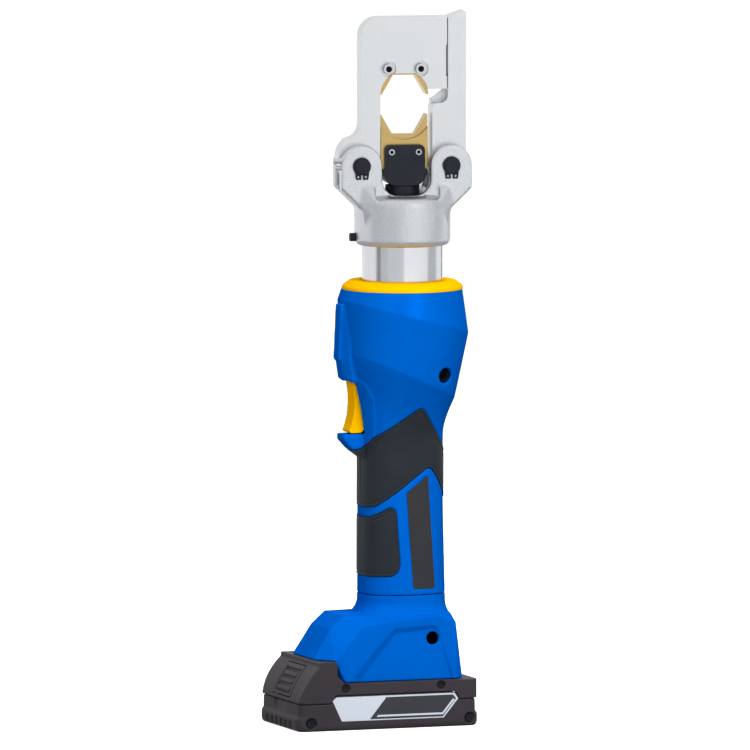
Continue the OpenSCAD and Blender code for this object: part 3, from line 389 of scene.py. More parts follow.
    def soften(self, voxel: float, passes: int) -> "Solid":
        """Rounds every edge a little, as a mould or a forge does.

        Args:
            voxel: Size of the even mesh that the solid is rebuilt on.
            passes: Number of smoothing passes.

        Returns:
            The solid itself.
        """
        remesh = self.obj.modifiers.new("even", "REMESH")
        remesh.mode = "VOXEL"
        remesh.voxel_size = voxel * 1
        smooth = self.obj.modifiers.new("smooth", "SMOOTH")
        smooth.factor = 0.5
        smooth.iterations = passes
        return self._apply()

    def thin(self, share: float) -> "Solid":
        """Keeps a share of the faces.

        Args:
            share: The share, up to 1.

        Returns:
            This solid.
        """
        decimate = self.obj.modifiers.new("thin", "DECIMATE")
        decimate.ratio = share
        return self._apply()

    def turned(self, angle: float) -> "Solid":
        """Turns the solid about the tool's axis by an angle in degrees."""
        self.obj.data.transform(Matrix.Rotation(math.radians(angle), 4, "Z"))
        return self

    def copy(self) -> "Solid":
        """A second solid of the same shape.

        Returns:
            The second solid.
        """
        mesh = bmesh.new()
        mesh.from_mesh(self.obj.data)
        return Solid(mesh)

    def discard(self) -> None:
        """Removes the solid from the scene."""
        data = self.obj.data
        bpy.data.objects.remove(self.obj)
        bpy.data.meshes.remove(data)

    def piece(self, name: str, body: Body, slot: Slot, material: bpy.types.Material, *nodes: str) -> None:
        """Places the solid in the frame as a finished piece.

        Args:
            name: Name of the piece.
            body: The body that it rides on.
            slot: Not used.
            material: Its finish.
            nodes: The CAD nodes that it stands for.
        """
        self.obj.name = name
        self.obj.data.name = name
        self.obj.data.transform(Matrix.Scale(MM, 4))
        self.obj.data.materials.clear()
        self.obj.data.materials.append(material)
        self.obj.data.shade_smooth()
        self.obj.data.set_sharp_from_angle(angle=SHARP_ANGLE)
        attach(self.obj, body.value)
        if nodes:
            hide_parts(*nodes)

    def crisp(self, width: float) -> "Solid":
        """Bevels the sharp edges and keeps the faces flat.

        Args:
            width: Width of the bevel.

        Returns:
            This solid.
        """
        self.obj.data.shade_smooth()
        add_bevel(self.obj, width)
        return self._apply()


def add_bevel(obj: bpy.types.Object, width: float) -> None:
    """Adds modifiers that bevel an object's sharp edges and weight its normals to the large faces.

    Args:
        obj: A mesh object.
        width: Width of the bevel, in the object's own unit.
    """
    flat = obj.modifiers.new("flat", "DECIMATE")
    flat.decimate_type = "DISSOLVE"
    flat.angle_limit = math.radians(0.6)
    bevel = obj.modifiers.new("bevel", "BEVEL")
    bevel.width = width
    bevel.segments = 2
    bevel.limit_method = "ANGLE"
    bevel.angle_limit = BEVEL_ANGLE
    normals = obj.modifiers.new("normals", "WEIGHTED_NORMAL")
    normals.keep_sharp = False


# Finishes


def set_sockets(node: bpy.types.Node, values: dict[Any, Any]) -> None:
    """Sets constants of a node's input sockets, by name or number."""
    for socket, value in values.items():
        node.inputs[socket].default_value = value


def add_node(tree: bpy.types.NodeTree, kind: str, values: dict[Any, Any] | None = None,
             **settings: Any) -> bpy.types.Node:
    """Adds a node to a tree.

    Args:
        tree: The node tree.
        kind: Type of the node.
        values: Constants of its input sockets.
        settings: The node's own settings.

    Returns:
        The new node.
    """
    node = tree.nodes.new(kind)
    for name, setting in settings.items():
        setattr(node, name, setting)
    set_sockets(node, values or {})
    return node


def wire(tree: bpy.types.NodeTree, *links: tuple) -> None:
    """Links sockets, each link given as a node, its output, the next node and its input."""
    for start, output, end, socket in links:
        tree.links.new(start.outputs[output], end.inputs[socket])


class Groups:
    """Shader node groups that several finishes share."""

    def __init__(self) -> None:
        """Builds the groups."""
        self.grain = self._heights("fine_grain", (1, 1, 1))
        self.turned = self._heights("turned_lines", (0, 0, 1))
        self.brushed = self._heights("brushed_lines", (0.04, 0.04, 1))
        self.mottle = self._mottle()

    @staticmethod
    def _tree(name: str, inputs: dict[str, str], outputs: dict[str, str]) -> tuple:
        """A new node group with its sockets, and its input and output nodes.

        Args:
            name: Name of the group.
            inputs: Kind of each input by its name.
            outputs: Kind of each output by its name.

        Returns:
            The group, its input node and its output node.
        """
        tree = bpy.data.node_groups.new(name, "ShaderNodeTree")
        for way, sockets in (("INPUT", inputs), ("OUTPUT", outputs)):
            for label, kind in sockets.items():
                tree.interface.new_socket(label, in_out=way, socket_type="NodeSocket" + kind)
        return tree, tree.nodes.new("NodeGroupInput"), tree.nodes.new("NodeGroupOutput")

    def _heights(self, name: str, stretch: Point3) -> bpy.types.NodeTree:
        """Noise drawn out along the axes that have a low stretch, as a height.

        Args:
            name: Name of the group.
            stretch: Factor on each axis.

        Returns:
            The group.
        """
        tree, start, end = self._tree(name, {"Vector": "Vector", "Scale": "Float"}, {"Height": "Float"})
        scaled = add_node(tree, "ShaderNodeVectorMath", {1: stretch}, operation="MULTIPLY")
        noise = add_node(tree, "ShaderNodeTexNoise", {"Detail": 3.0, "Roughness": 0.6})
        wire(tree, (start, "Vector", scaled, 0), (scaled, "Vector", noise, "Vector"),
             (start, "Scale", noise, "Scale"), (noise, "Fac", end, "Height"))
        return tree

    def _mottle(self) -> bpy.types.NodeTree:
        """Slow drift between a colour and its tint, and of the roughness.

        Returns:
            The group.
        """
        tree, start, end = self._tree(
            "slow_mottle",
            {"Vector": "Vector", "Colour": "Color", "Tint": "Color", "Scale": "Float", "Roughness": "Float",
             "Swing": "Float"},
            {"Colour": "Color", "Roughness": "Float"})
        noise = add_node(tree, "ShaderNodeTexNoise", {"Detail": 4.0})
        spread = add_node(tree, "ShaderNodeMapRange", {"From Min": 0.35, "From Max": 0.65})
        mix = add_node(tree, "ShaderNodeMix", data_type="RGBA")
        drift = add_node(tree, "ShaderNodeMath", operation="MULTIPLY_ADD")
        wire(tree, (start, "Vector", noise, "Vector"), (start, "Scale", noise, "Scale"),
             (noise, "Fac", spread, "Value"), (spread, "Result", mix, "Factor"), (start, "Colour", mix, "A"),
             (start, "Tint", mix, "B"), (spread, "Result", drift, 0), (start, "Swing", drift, 1),
             (start, "Roughness", drift, 2), (mix, "Result", end, "Colour"), (drift, "Value", end, "Roughness"))
        return tree


@dataclass(frozen=True)
class Finish:
    """One procedural finish.

    Attributes:
        name: Name of the material.
        colour: Linear base colour.
        tint: Linear colour that the base drifts towards.
        roughness: Least roughness.
        swing: How far the roughness drifts up.
        metallic: Metallic share.
        specular: Strength of the reflection of a plastic.
        sheen: Linear colour of that reflection.
        pattern: Fine pattern of the surface.
        pattern_scale: Waves of the fine pattern per metre.
        bump: Depth of the fine pattern, in metres.
        drift_scale: Waves of the slow drift per metre.
    """

    name: str
    colour: Point3
    tint: Point3
    roughness: float
    swing: float = 0.06
    metallic: float = 0.0
    specular: float = 0.4
    sheen: Point3 = (1.0, 1.0, 1.0)
    pattern: Pattern = Pattern.GRAIN
    pattern_scale: float = 2200.0
    bump: float = 0.00002
    drift_scale: float = 40.0

    def material(self, groups: Groups) -> bpy.types.Material:
        """Builds the material.

        Args:
            groups: The shared node groups.

        Returns:
            The new material.
        """
        material = bpy.data.materials.new(self.name)
        material.use_nodes = True
        tree = material.node_tree
        shader = tree.nodes["Principled BSDF"]
        set_sockets(shader, {"Metallic": self.metallic, "Specular IOR Level": self.specular,
                             "Specular Tint": (*self.sheen, 1)})
        place = add_node(tree, "ShaderNodeTexCoord")
        drift = add_node(tree, "ShaderNodeGroup", {
            "Colour": (*self.colour, 1), "Tint": (*self.tint, 1), "Scale": self.drift_scale,
            "Roughness": self.roughness, "Swing": self.swing}, node_tree=groups.mottle)
        fine = add_node(tree, "ShaderNodeGroup", {"Scale": self.pattern_scale},
                        node_tree=getattr(groups, self.pattern.value))
        bump = add_node(tree, "ShaderNodeBump", {"Strength": 1.0, "Distance": self.bump})
        wire(tree, (place, "Object", drift, "Vector"), (place, "Object", fine, "Vector"),
             (fine, "Height", bump, "Height"), (drift, "Colour", shader, "Base Color"),
             (drift, "Roughness", shader, "Roughness"), (bump, "Normal", shader, "Normal"))
        return material


class Look(Enum):
    """The finishes of the tool."""

    BLUE = Finish("blue_plastic", (0.0, 0.110, 0.545), (0.0, 0.118, 0.575), 0.30, metallic=0.08,
                  specular=0.0, sheen=(0.06, 0.34, 1.0))
    YELLOW = Finish("yellow_plastic", (0.98, 0.47, 0.0), (0.99, 0.50, 0.0), 0.34, metallic=0.08,
                    specular=0.0, sheen=(1.0, 0.7, 0.04))
    RUBBER = Finish("grip_rubber", (0.018, 0.022, 0.028), (0.022, 0.027, 0.034), 0.55, specular=0.14,
                    bump=0.00004, pattern_scale=1600.0)
    FILM = Finish("plate_film", (0.022, 0.024, 0.028), (0.026, 0.028, 0.032), 0.34, specular=0.25,
                  bump=0.000004)
    CASE = Finish("battery_plastic", (0.039, 0.034, 0.040), (0.045, 0.039, 0.046), 0.50, specular=0.12,
                  bump=0.00004, pattern_scale=1800.0)
    PLATE = Finish("satin_plate", (0.68, 0.74, 0.83), (0.70, 0.76, 0.85), 0.40, metallic=0.35, bump=0.000002)
    PANEL = Finish("dark_panel", (0.034, 0.037, 0.044), (0.038, 0.041, 0.048), 0.40, specular=0.3,
                   bump=0.000004)
    FORGED = Finish("forged_steel", (0.61, 0.63, 0.645), (0.64, 0.655, 0.67), 0.36, metallic=1.0,
                    swing=0.04, pattern_scale=900.0, bump=0.000008)
    CAST = Finish("cast_steel", (0.53, 0.55, 0.575), (0.66, 0.68, 0.70), 0.34, metallic=1.0, swing=0.08,
                  pattern_scale=900.0, bump=0.00013, drift_scale=1500.0)
    TURNED = Finish("turned_alloy", (0.59, 0.60, 0.62), (0.61, 0.62, 0.64), 0.16, metallic=1.0, swing=0.03,
                    pattern=Pattern.TURNED, pattern_scale=3000.0, bump=0.000005)
    BLACK = Finish("black_steel", (0.014, 0.016, 0.024), (0.019, 0.021, 0.030), 0.36, metallic=0.5,
                   specular=0.25, pattern_scale=1500.0, bump=0.00001)
    # Near-black matt finish that paints the shade of deep holes: the shell screws in their seats and the
    # drilled ends of the die pins
    DEEP = Finish("deep_black", (0.004, 0.004, 0.006), (0.006, 0.006, 0.008), 0.60, specular=0.05,
                  bump=0.000004)
    GOLD = Finish("gold_die", (0.46, 0.32, 0.12), (0.50, 0.36, 0.14), 0.28, metallic=1.0,
                  pattern=Pattern.BRUSHED, pattern_scale=2600.0, bump=0.000006)
    DRIVE = Finish("drive_steel", (0.52, 0.53, 0.55), (0.58, 0.59, 0.61), 0.30, metallic=1.0, bump=0.00001)
    BOARD = Finish("board_green", (0.012, 0.09, 0.035), (0.018, 0.11, 0.045), 0.36, bump=0.00001)
    BRASS = Finish("contact_brass", (0.78, 0.55, 0.22), (0.84, 0.62, 0.28), 0.28, metallic=1.0, bump=0.000006)
    CELL = Finish("cell_wrap", (0.03, 0.20, 0.10), (0.04, 0.24, 0.12), 0.34, bump=0.000004)


class Finishes:
    """The materials of all the finishes, built once."""

    def __init__(self) -> None:
        """Builds the materials."""
        groups = Groups()
        self._materials = {look: look.value.material(groups) for look in Look}

    def __getitem__(self, look: Look) -> bpy.types.Material:
        """The material of a finish."""
        return self._materials[look]


# The tool


@dataclass(frozen=True)
class Section:
    """One section across the handle or body: level, slope along X, centre, half sizes and roundness."""

    level: float
    slope: float
    centre: float
    depth: float
    width: float
    power: float

    def ring(self, inset: float, points: int) -> list[Vector]:
        """The section's outline in space, drawn in by an inset.

        Args:
            inset: Distance inwards.
            points: Number of points.

        Returns:
            The points of the outline.
        """
        ring = []
        for i in range(points):
            t = math.tau * i / points
            x = self.centre + (self.depth - inset) * self._bent(math.cos(t))
            y = (self.width - inset) * self._bent(math.sin(t))
            ring.append(Vector((x, y, self.level + self.slope * x)))
        return ring

    def _bent(self, value: float) -> float:
        """A sine or cosine drawn out towards the section's corners."""
        return math.copysign(abs(value) ** (2 / self.power), value)


@dataclass
class HandleForm:
    """The outer form of the handle and body, from the foot's seam to the ring.

    Attributes:
        seam: Level of the seam over the foot.
        ring: Level of the ring's underside.
        shift: Offset of the handle's middle from the axis.
        depth: Depth of the handle.
        width: Width of the handle.
        points: Points round a section.
        step: Height between two rings of the loft.
    """

    seam: float
    ring: float
    shift: float = -1.5
    depth: float = 53.2
    width: float = 47.0
    points: int = 176
    step: float = 1.6
    sections: list[Section] = field(init=False)
    # First section that ends in a crease; those below blend smoothly
    crease: int = field(init=False, default=5)

    def __post_init__(self) -> None:
        """Lists the sections from the driving sizes."""
        d, w, top = self.depth / 2, self.width / 2, self.ring
        self.sections = [
            Section(self.seam, 0, self.shift + 0.6, d + 0.7, w + 0.7, 2.6),
            Section(self.seam + 59.2, 0, self.shift, d, w, 2.6),
            Section(top - 100.5, 0, self.shift, d, w + 0.1, 2.6),
            Section(top - 88.5, -0.06, self.shift - 0.4, d + 0.8, w + 1.1, 2.5),
            Section(top - 75.5, -0.22, self.shift - 0.8, d + 3.6, w + 5, 2.3),
            Section(top - 56.5, -0.43, self.shift - 2, 36.4, 36.4, 2.1),
            Section(top - 17.5, -0.27, 0.4, 42, 41, 2),
            Section(top, 0, -0.4, 38.7, 38.7, 2),
        ]

    def _tangents(self, i: int) -> list[float]:
        """Rates of change with the level at a section, from its neighbours."""
        low, high = astuple(self.sections[max(i - 1, 0)]), astuple(self.sections[min(i + 1, self.crease)])
        return [(b - a) / (high[0] - low[0]) for a, b in zip(low, high)]

    def _between(self, i: int, t: float) -> Section:
        """The section at a share t of the way from section i to the next.

        Args:
            i: Index of the lower section.
            t: Share of the way, from 0 to 1.

        Returns:
            The section between.
        """
        low, high = astuple(self.sections[i]), astuple(self.sections[i + 1])
        if i >= self.crease:
            return Section(*(a + (b - a) * t for a, b in zip(low, high)))
        rise = high[0] - low[0]
        rates = zip(low, high, self._tangents(i), self._tangents(i + 1))
        h00, h10 = 2 * t**3 - 3 * t**2 + 1, t**3 - 2 * t**2 + t
        h01, h11 = 3 * t**2 - 2 * t**3, t**3 - t**2
        return Section(*(h00 * a + h10 * rise * m + h01 * b + h11 * rise * n for a, b, m, n in rates))

    def solid(self, inset: float, low_end: float = 0.0, high_end: float = 0.0) -> Solid:
        """The form as a closed solid.

        Args:
            inset: Distance that the form is drawn in.
            low_end: How far the lower end reaches past the seam.
            high_end: How far the upper end reaches past the ring.

        Returns:
            The solid.
        """
        rings: list[list[Vector]] = []
        for i in range(len(self.sections) - 1):
            steps = max(2, round((self.sections[i + 1].level - self.sections[i].level) / self.step))
            rings += [self._between(i, k / steps).ring(inset, self.points) for k in range(steps)]
        rings.append(self.sections[-1].ring(inset, self.points))
        if low_end:
            rings[0] = [p - Vector((0, 0, low_end)) for p in rings[0]]
        if high_end:
            rings[-1] = [p + Vector((0, 0, high_end)) for p in rings[-1]]
        return Solid.loft(rings)


@dataclass
class Housing:
    """The blue shells with the ring, the grips, the plate strips and the foot."""

    finishes: Finishes
    wall: float = 3.0
    grip_depth: float = 1.6
    grip_proud: float = 0.5
    strip_depth: float = 0.8
    # How far the grips' outlines reach past the handle
    past: float = 12.0
    screw_x: float = 17.6
    screw_drop: float = 54.0
    screw_r: float = 5.1
    screw_floor: float = 24.0
    boss_r: float = 7.6
    boss_floor: float = 21.0
    form: HandleForm = field(init=False)

    def __post_init__(self) -> None:
        """Finds the levels in the frame."""
        self.form = HandleForm(seam=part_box("left_shell")[0].z / MM, ring=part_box("collar_ring")[0].z / MM)
        self.front = self.form.shift - self.form.depth / 2
        self.back = self.form.shift + self.form.depth / 2
        self.rest_top = self.form.ring - 91.9
        self.guard_z = self.rest_top + 33
        self.pivot_z = self.guard_z + 3.5

    def build(self) -> None:
        """Builds and places all the pieces of the housing."""
        self._shells()
        self._ring()
        self._inlays()
        self._plates()
        LOG.info("housing built")

    def _upper_grip(self) -> list[Point]:
        """Side outline of the upper grip.

        Returns:
            The rounded outline in x and z.
        """
        front, back, past = self.front, self.back, self.past
        return rounded([
            (front - past, 176), (front - 1.4, 177), (front + 2.4, 184), (3.2, 205), (14.6, 189),
            (back - 1.1, 176.4), (back + past, 169.4), (back + past, 136), (back - 1.1, 145), (16.4, 158.2),
            (10.4, 166.2), (front + 3.8, 140.4), (front - past, 136),
        ], 4.0)

    def _lower_grip(self) -> list[Point]:
        """Side outline of the lower grip.

        Returns:
            The rounded outline in x and z.
        """
        front = self.front
        return rounded([
            (front - self.past, 131), (front + 1.1, 133.3), (front + 7.1, 137), (-16, 140.2), (-12.8, 139),
            (-12, 135.5), (-9.7, 103.5), (-11, 98.6), (-15, 95.8), (front - self.past, 94.8),
        ], 3.0)

    @staticmethod
    def _plate_strip() -> list[Point]:
        """Side outline of the plate strip."""
        return rounded([(9.4, 160.4), (-5.7, 149.4), (-1.2, 87.4), (14.4, 87.4)], 0.8)

    def _layer(self, outline: list[Point], depth: float, proud: float) -> Solid:
        """The layer of the form between two depths, within a side outline."""
        layer = self.form.solid(-proud).cut(self.form.solid(depth, OVER, OVER))
        return layer.keep(Solid.across(outline, -FAR, FAR))

    def _guard(self) -> Solid:
        """The ridge over the trigger, which steps back above the finger.

        Returns:
            The ridge, to be joined to the housing.
        """
        front, back = PIVOT_X - 12, PIVOT_X + 7.2
        top, mid, low = self.form.ring - 9, self.form.ring - 44, self.guard_z
        step = low + 15
        ridge = [(front + 1.6, top), (front, mid), (front, step), (front + 2, step - 2), (back, step - 2),
                 (back, top)]
        narrow = [(front + 3, top - 3), (front + 1.6, mid), (front + 3.4, low + 2.4), (front + 8.4, low),
                  (back, low), (back, top)]
        broad = [(front + 7.2, top - 4), (front + 5.2, mid), (front + 8, low), (back + 2, low),
                 (back + 2, top - 4)]
        guard = Solid.hull([(x, y, z) for x, z in narrow for y in (-5.5, 5.5)]
                           + [(x, y, z) for x, z in broad for y in (-11, 11)])
        return guard.join(Solid.across(ridge, -5, 5))

    def _bezel(self) -> Solid:
        """The raised band round the trigger, along the edge of the hollow behind it.

        Returns:
            The band, to be joined to the housing.
        """
        rise, fall = self.guard_z, self.rest_top
        edge = [(-41.6, rise + 15), (-40.4, rise + 9.5), (-36.4, rise + 4), (-31.2, rise - 1.2),
                (-27.2, rise - 9), (-25.6, rise - 19), (-25, fall - 1), (-26, fall - 8), (-29, fall - 12)]
        outline = [(-FAR, rise + 17), *edge, (-FAR, fall - 14)]
        return self._layer(outline, self.wall - 0.5, 0.8)

    def _finger_rest(self, grow: float) -> Solid:
        """The horn under the trigger.

        Args:
            grow: Distance by which it is made larger.

        Returns:
            The horn.
        """
        tip, root, top = self.front - 13.9, self.front + 8.1, self.rest_top
        outline = [(tip, top), (tip, top - 4), (tip + 6, top - 10.4), (tip + 15, top - 17), (root, top - 17),
                   (root, top)]
        half = TRIGGER_W / 2 + grow
        return Solid.across(drawn_in(outline, -grow), -half, half)

    def _rest_pad(self, outline: list[Point], grow: float) -> Solid:
        """The rubber underside of the horn, which belongs to the upper grip."""
        pad = self._finger_rest(grow).cut(self.form.solid(self.grip_depth, OVER, OVER))
        return pad.keep(Solid.across(outline, -FAR, FAR))

    def _shells(self) -> None:
        """The two shells, hollowed and cut for all that sits in them."""
        slot = TRIGGER_W / 2 + 0.4
        ring, screw = self.form.ring, (self.screw_x, self.form.ring - self.screw_drop)
        body = self.form.solid(0).join(self._guard(), self._bezel(), self._finger_rest(0))
        body.cut(self.form.solid(self.wall, OVER, -self.wall))
        bosses = self.form.solid(self.wall / 2)
        bosses.cut(Solid.box((-FAR, -self.boss_floor, 0), (FAR, self.boss_floor, 2 * FAR)))
        body.join(bosses.keep(Solid.bolt(*screw, self.boss_r, -FAR, FAR)))
        body.cut(
            Solid.lathe([(0.01, ring - 6), (RING_BORE, ring - 6), (RING_BORE, ring + 9), (0.01, ring + 9)]),
            Solid.box((-FAR, -slot, self.rest_top), (PIVOT_X + 8.2, slot, self.guard_z)),
            Solid.box((PIVOT_X - 5.6, -slot, self.guard_z - OVER), (PIVOT_X + 24, slot, self.pivot_z + 4)),
            self._layer(self._upper_grip(), self.grip_depth, OVER),
            self._layer(self._lower_grip(), self.grip_depth, OVER),
            self._layer(self._plate_strip(), self.strip_depth, OVER),
            self._rest_pad(self._upper_grip(), 0.6),
        )
        for side in Side:
            body.cut(Solid.bolt(*screw, self.screw_r, *side.span(self.screw_floor, FAR)))
        body.soften(0.6, 4)
        for side in Side:
            node = side.prefix + "shell"
            shell = body.copy().half(side).thin(0.45)
            shell.piece(node + "_moulding", Body.HOUSING, Slot.HOUSING, self.finishes[Look.BLUE], node)
        body.discard()

    def _ring(self) -> None:
        """The yellow ring with its crowned edge."""
        low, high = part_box("collar_ring")
        outer, base, top = high.x / MM, low.z / MM, high.z / MM
        crown = [(outer, base + 1), (outer - 0.3, base + 1.9), (outer - 0.9, base + 2.7),
                 (outer - 4, top - 0.6), (outer - 4.7, top - 0.15), (outer - 5.6, top)]
        profile = [(RING_BORE, base), (outer, base), *crown, (RING_BORE + 0.5, top), (RING_BORE, top - 0.5)]
        ring = Solid.lathe(profile)
        ring.piece("collar_ring_moulding", Body.HOUSING, Slot.ACCENT, self.finishes[Look.YELLOW], "collar_ring")

    def _inlays(self) -> None:
        """The grips, each with a fine groove along its edge."""
        for label, outline in (("upper_grip", self._upper_grip()), ("lower_grip", self._lower_grip())):
            grip = self._layer(drawn_in(outline, 0.25), self.grip_depth, self.grip_proud)
            groove = self._layer(drawn_in(outline, 1.7), -0.05, OVER)
            groove.cut(Solid.across(drawn_in(outline, 2.6), -FAR, FAR))
            grip.cut(groove)
            if label == "upper_grip":
                grip.join(self._rest_pad(drawn_in(outline, 0.25), 0.0))
            for side in Side:
                node = side.prefix + label
                part = grip.copy().half(side).soften(0.42, 3).thin(0.4)
                part.piece(node + "_inlay", Body.HOUSING, Slot.GRIP, self.finishes[Look.RUBBER], node)
            grip.discard()

    def _plates(self) -> None:
        """The bare plate strips."""
        strip = self._layer(drawn_in(self._plate_strip(), 0.2), self.strip_depth, 0.0)
        strip.piece("plate_strips", Body.HOUSING, Slot.FILM, self.finishes[Look.FILM], "name_plates")


@dataclass
class Trigger:
    """The trigger under the guard."""

    finishes: Finishes
    # Radius of the round end on the trigger's pin, and of the pin's hole
    hub: float = 3.2
    hole: float = 1.55

    def build(self) -> None:
        """Builds and places the trigger."""
        low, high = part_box("trigger")
        x, base, top, hub = PIVOT_X, low.z / MM, high.z / MM, self.hub
        pivot = top - hub
        outline = rounded([
            (x - 2.7, pivot - 3.9), (x - 1.8, pivot - 10.5), (x - 1.6, pivot - 17.5), (x - 2.4, pivot - 25.5),
            (x - 4, pivot - 31.5), (x - 5.3, base + 1.2), (x - 4.4, base), (x + 3.8, base),
            (x + 5.6, base + 4.4), (x + 4.8, pivot - 15.5), (x + hub, pivot), (x, top), (x - hub + 0.6, pivot),
        ], 5.0)
        trigger = Solid.across(outline, -TRIGGER_W / 2, TRIGGER_W / 2)
        trigger.cut(Solid.bolt(x, pivot, self.hole, -FAR, FAR))
        trigger.soften(0.35, 6).thin(0.4)
        trigger.piece("trigger_moulding", Body.TRIGGER, Slot.ACCENT, self.finishes[Look.YELLOW], "trigger")


@dataclass
class Foot:
    """The two shells that carry the battery."""

    finishes: Finishes
    form: HandleForm
    wall: float = 3.0
    half_w: float = 33.5
    front: float = -67.5
    rear: float = 30.5
    shelf: float = 44.4
    # Gap to the handle and to the battery
    gap: float = 0.4
    # From the seam down to the block's top, from there to the edge of its sides, and how far these lean
    drop: float = 12.3
    edge_drop: float = 5.5
    lean: float = 2.4
    screw: Point = (9.7, 56.5)
    screw_head_r: float = 4.2
    screw_hole_r: float = 2.8

    def build(self) -> None:
        """Builds and places the two foot shells."""
        foot = self._block(0).join(self._neck(0))
        foot.cut(
            self._panel(), self._block(self.wall), self._neck(self.wall),
            Solid.box((-FAR, -FAR, 0), (STEP_X + self.gap, FAR, self.shelf)),
            Solid.bolt(*self.screw, self.screw_head_r, -FAR, -self.half_w / 2),
            Solid.bolt(*self.screw, self.screw_hole_r, -FAR, FAR),
        )
        foot.soften(0.4, 7).thin(0.45)
        for side in Side:
            node = side.prefix + "foot_shell"
            shell = foot.copy().half(side)
            shell.piece(node + "_moulding", Body.HOUSING, Slot.HOUSING, self.finishes[Look.BLUE], node)
        foot.discard()
        LOG.info("foot built")

    def _block(self, inset: float) -> Solid:
        """The faceted block, drawn in by an inset.

        Args:
            inset: Distance inwards.

        Returns:
            The block.
        """
        half, front, rear = self.half_w - inset, self.front + inset, self.rear - inset
        past = OVER if inset else 0.0
        low, shelf = SHOULDER + self.gap - past, self.shelf - 2 * past
        high = self.form.seam - self.drop - inset
        corners = [
            (front, 20 - inset / 2, shelf), (front + 12, 18 - inset / 2, high - 8),
            (front + 21, 18 - inset / 2, high), (STEP_X + inset / 2, half - 0.5, shelf),
            (STEP_X + 20, half - self.lean, high - self.edge_drop), (STEP_X + 7, half, low),
            (rear, half - 5, low), (rear - 6, half, low), (rear - 2.5, half - 10, high - 6),
            (10, half - 3, high - 0.5), (rear - 5, half - 14, high),
        ]
        return Solid.hull([(x, side * y, z) for x, y, z in corners for side in Side])

    def _neck(self, inset: float) -> Solid:
        """The flare under the handle.

        Args:
            inset: Distance inwards.

        Returns:
            The flare.
        """
        base = self.form.sections[0]
        top = self.form.seam - self.gap
        rings = []
        for drop, spread in ((0, 0.0), (5, 0.2), (8, 0.9), (11, 2.4), (13.5 + inset, 5.0)):
            section = Section(top - drop, 0, base.centre - spread / 3, base.depth + spread, base.width + spread,
                              base.power)
            rings.append(section.ring(inset, 96))
        return Solid.loft(rings)

    def _panel(self) -> Solid:
        """The shallow recess in both sides.

        Returns:
            The solid to cut away.
        """
        outer = rounded([(-49.5, 29), (-17.5, 64.4), (10.5, 65.8), (15, 63), (23, 29)], 2.5)
        inner = rounded([(-42.5, 29), (-15.4, 60.4), (9.8, 62.4), (13.2, 60.8), (21.6, 29)], 2.5)
        panels = []
        for side in Side:
            rings = [[Vector((x, side * (self._face(z) + rise), z)) for x, z in outline]
                     for outline, rise in ((drawn_in(outer, -1.2), 0.8), (inner, -1.4))]
            panels.append(Solid.loft(rings))
        return panels[0].join(panels[1])

    def _face(self, level: float) -> float:
        """Half width of the block's leaning side at a level."""
        high = self.form.seam - self.drop - self.edge_drop
        return self.half_w - self.lean * (level - SHOULDER) / (high - SHOULDER)


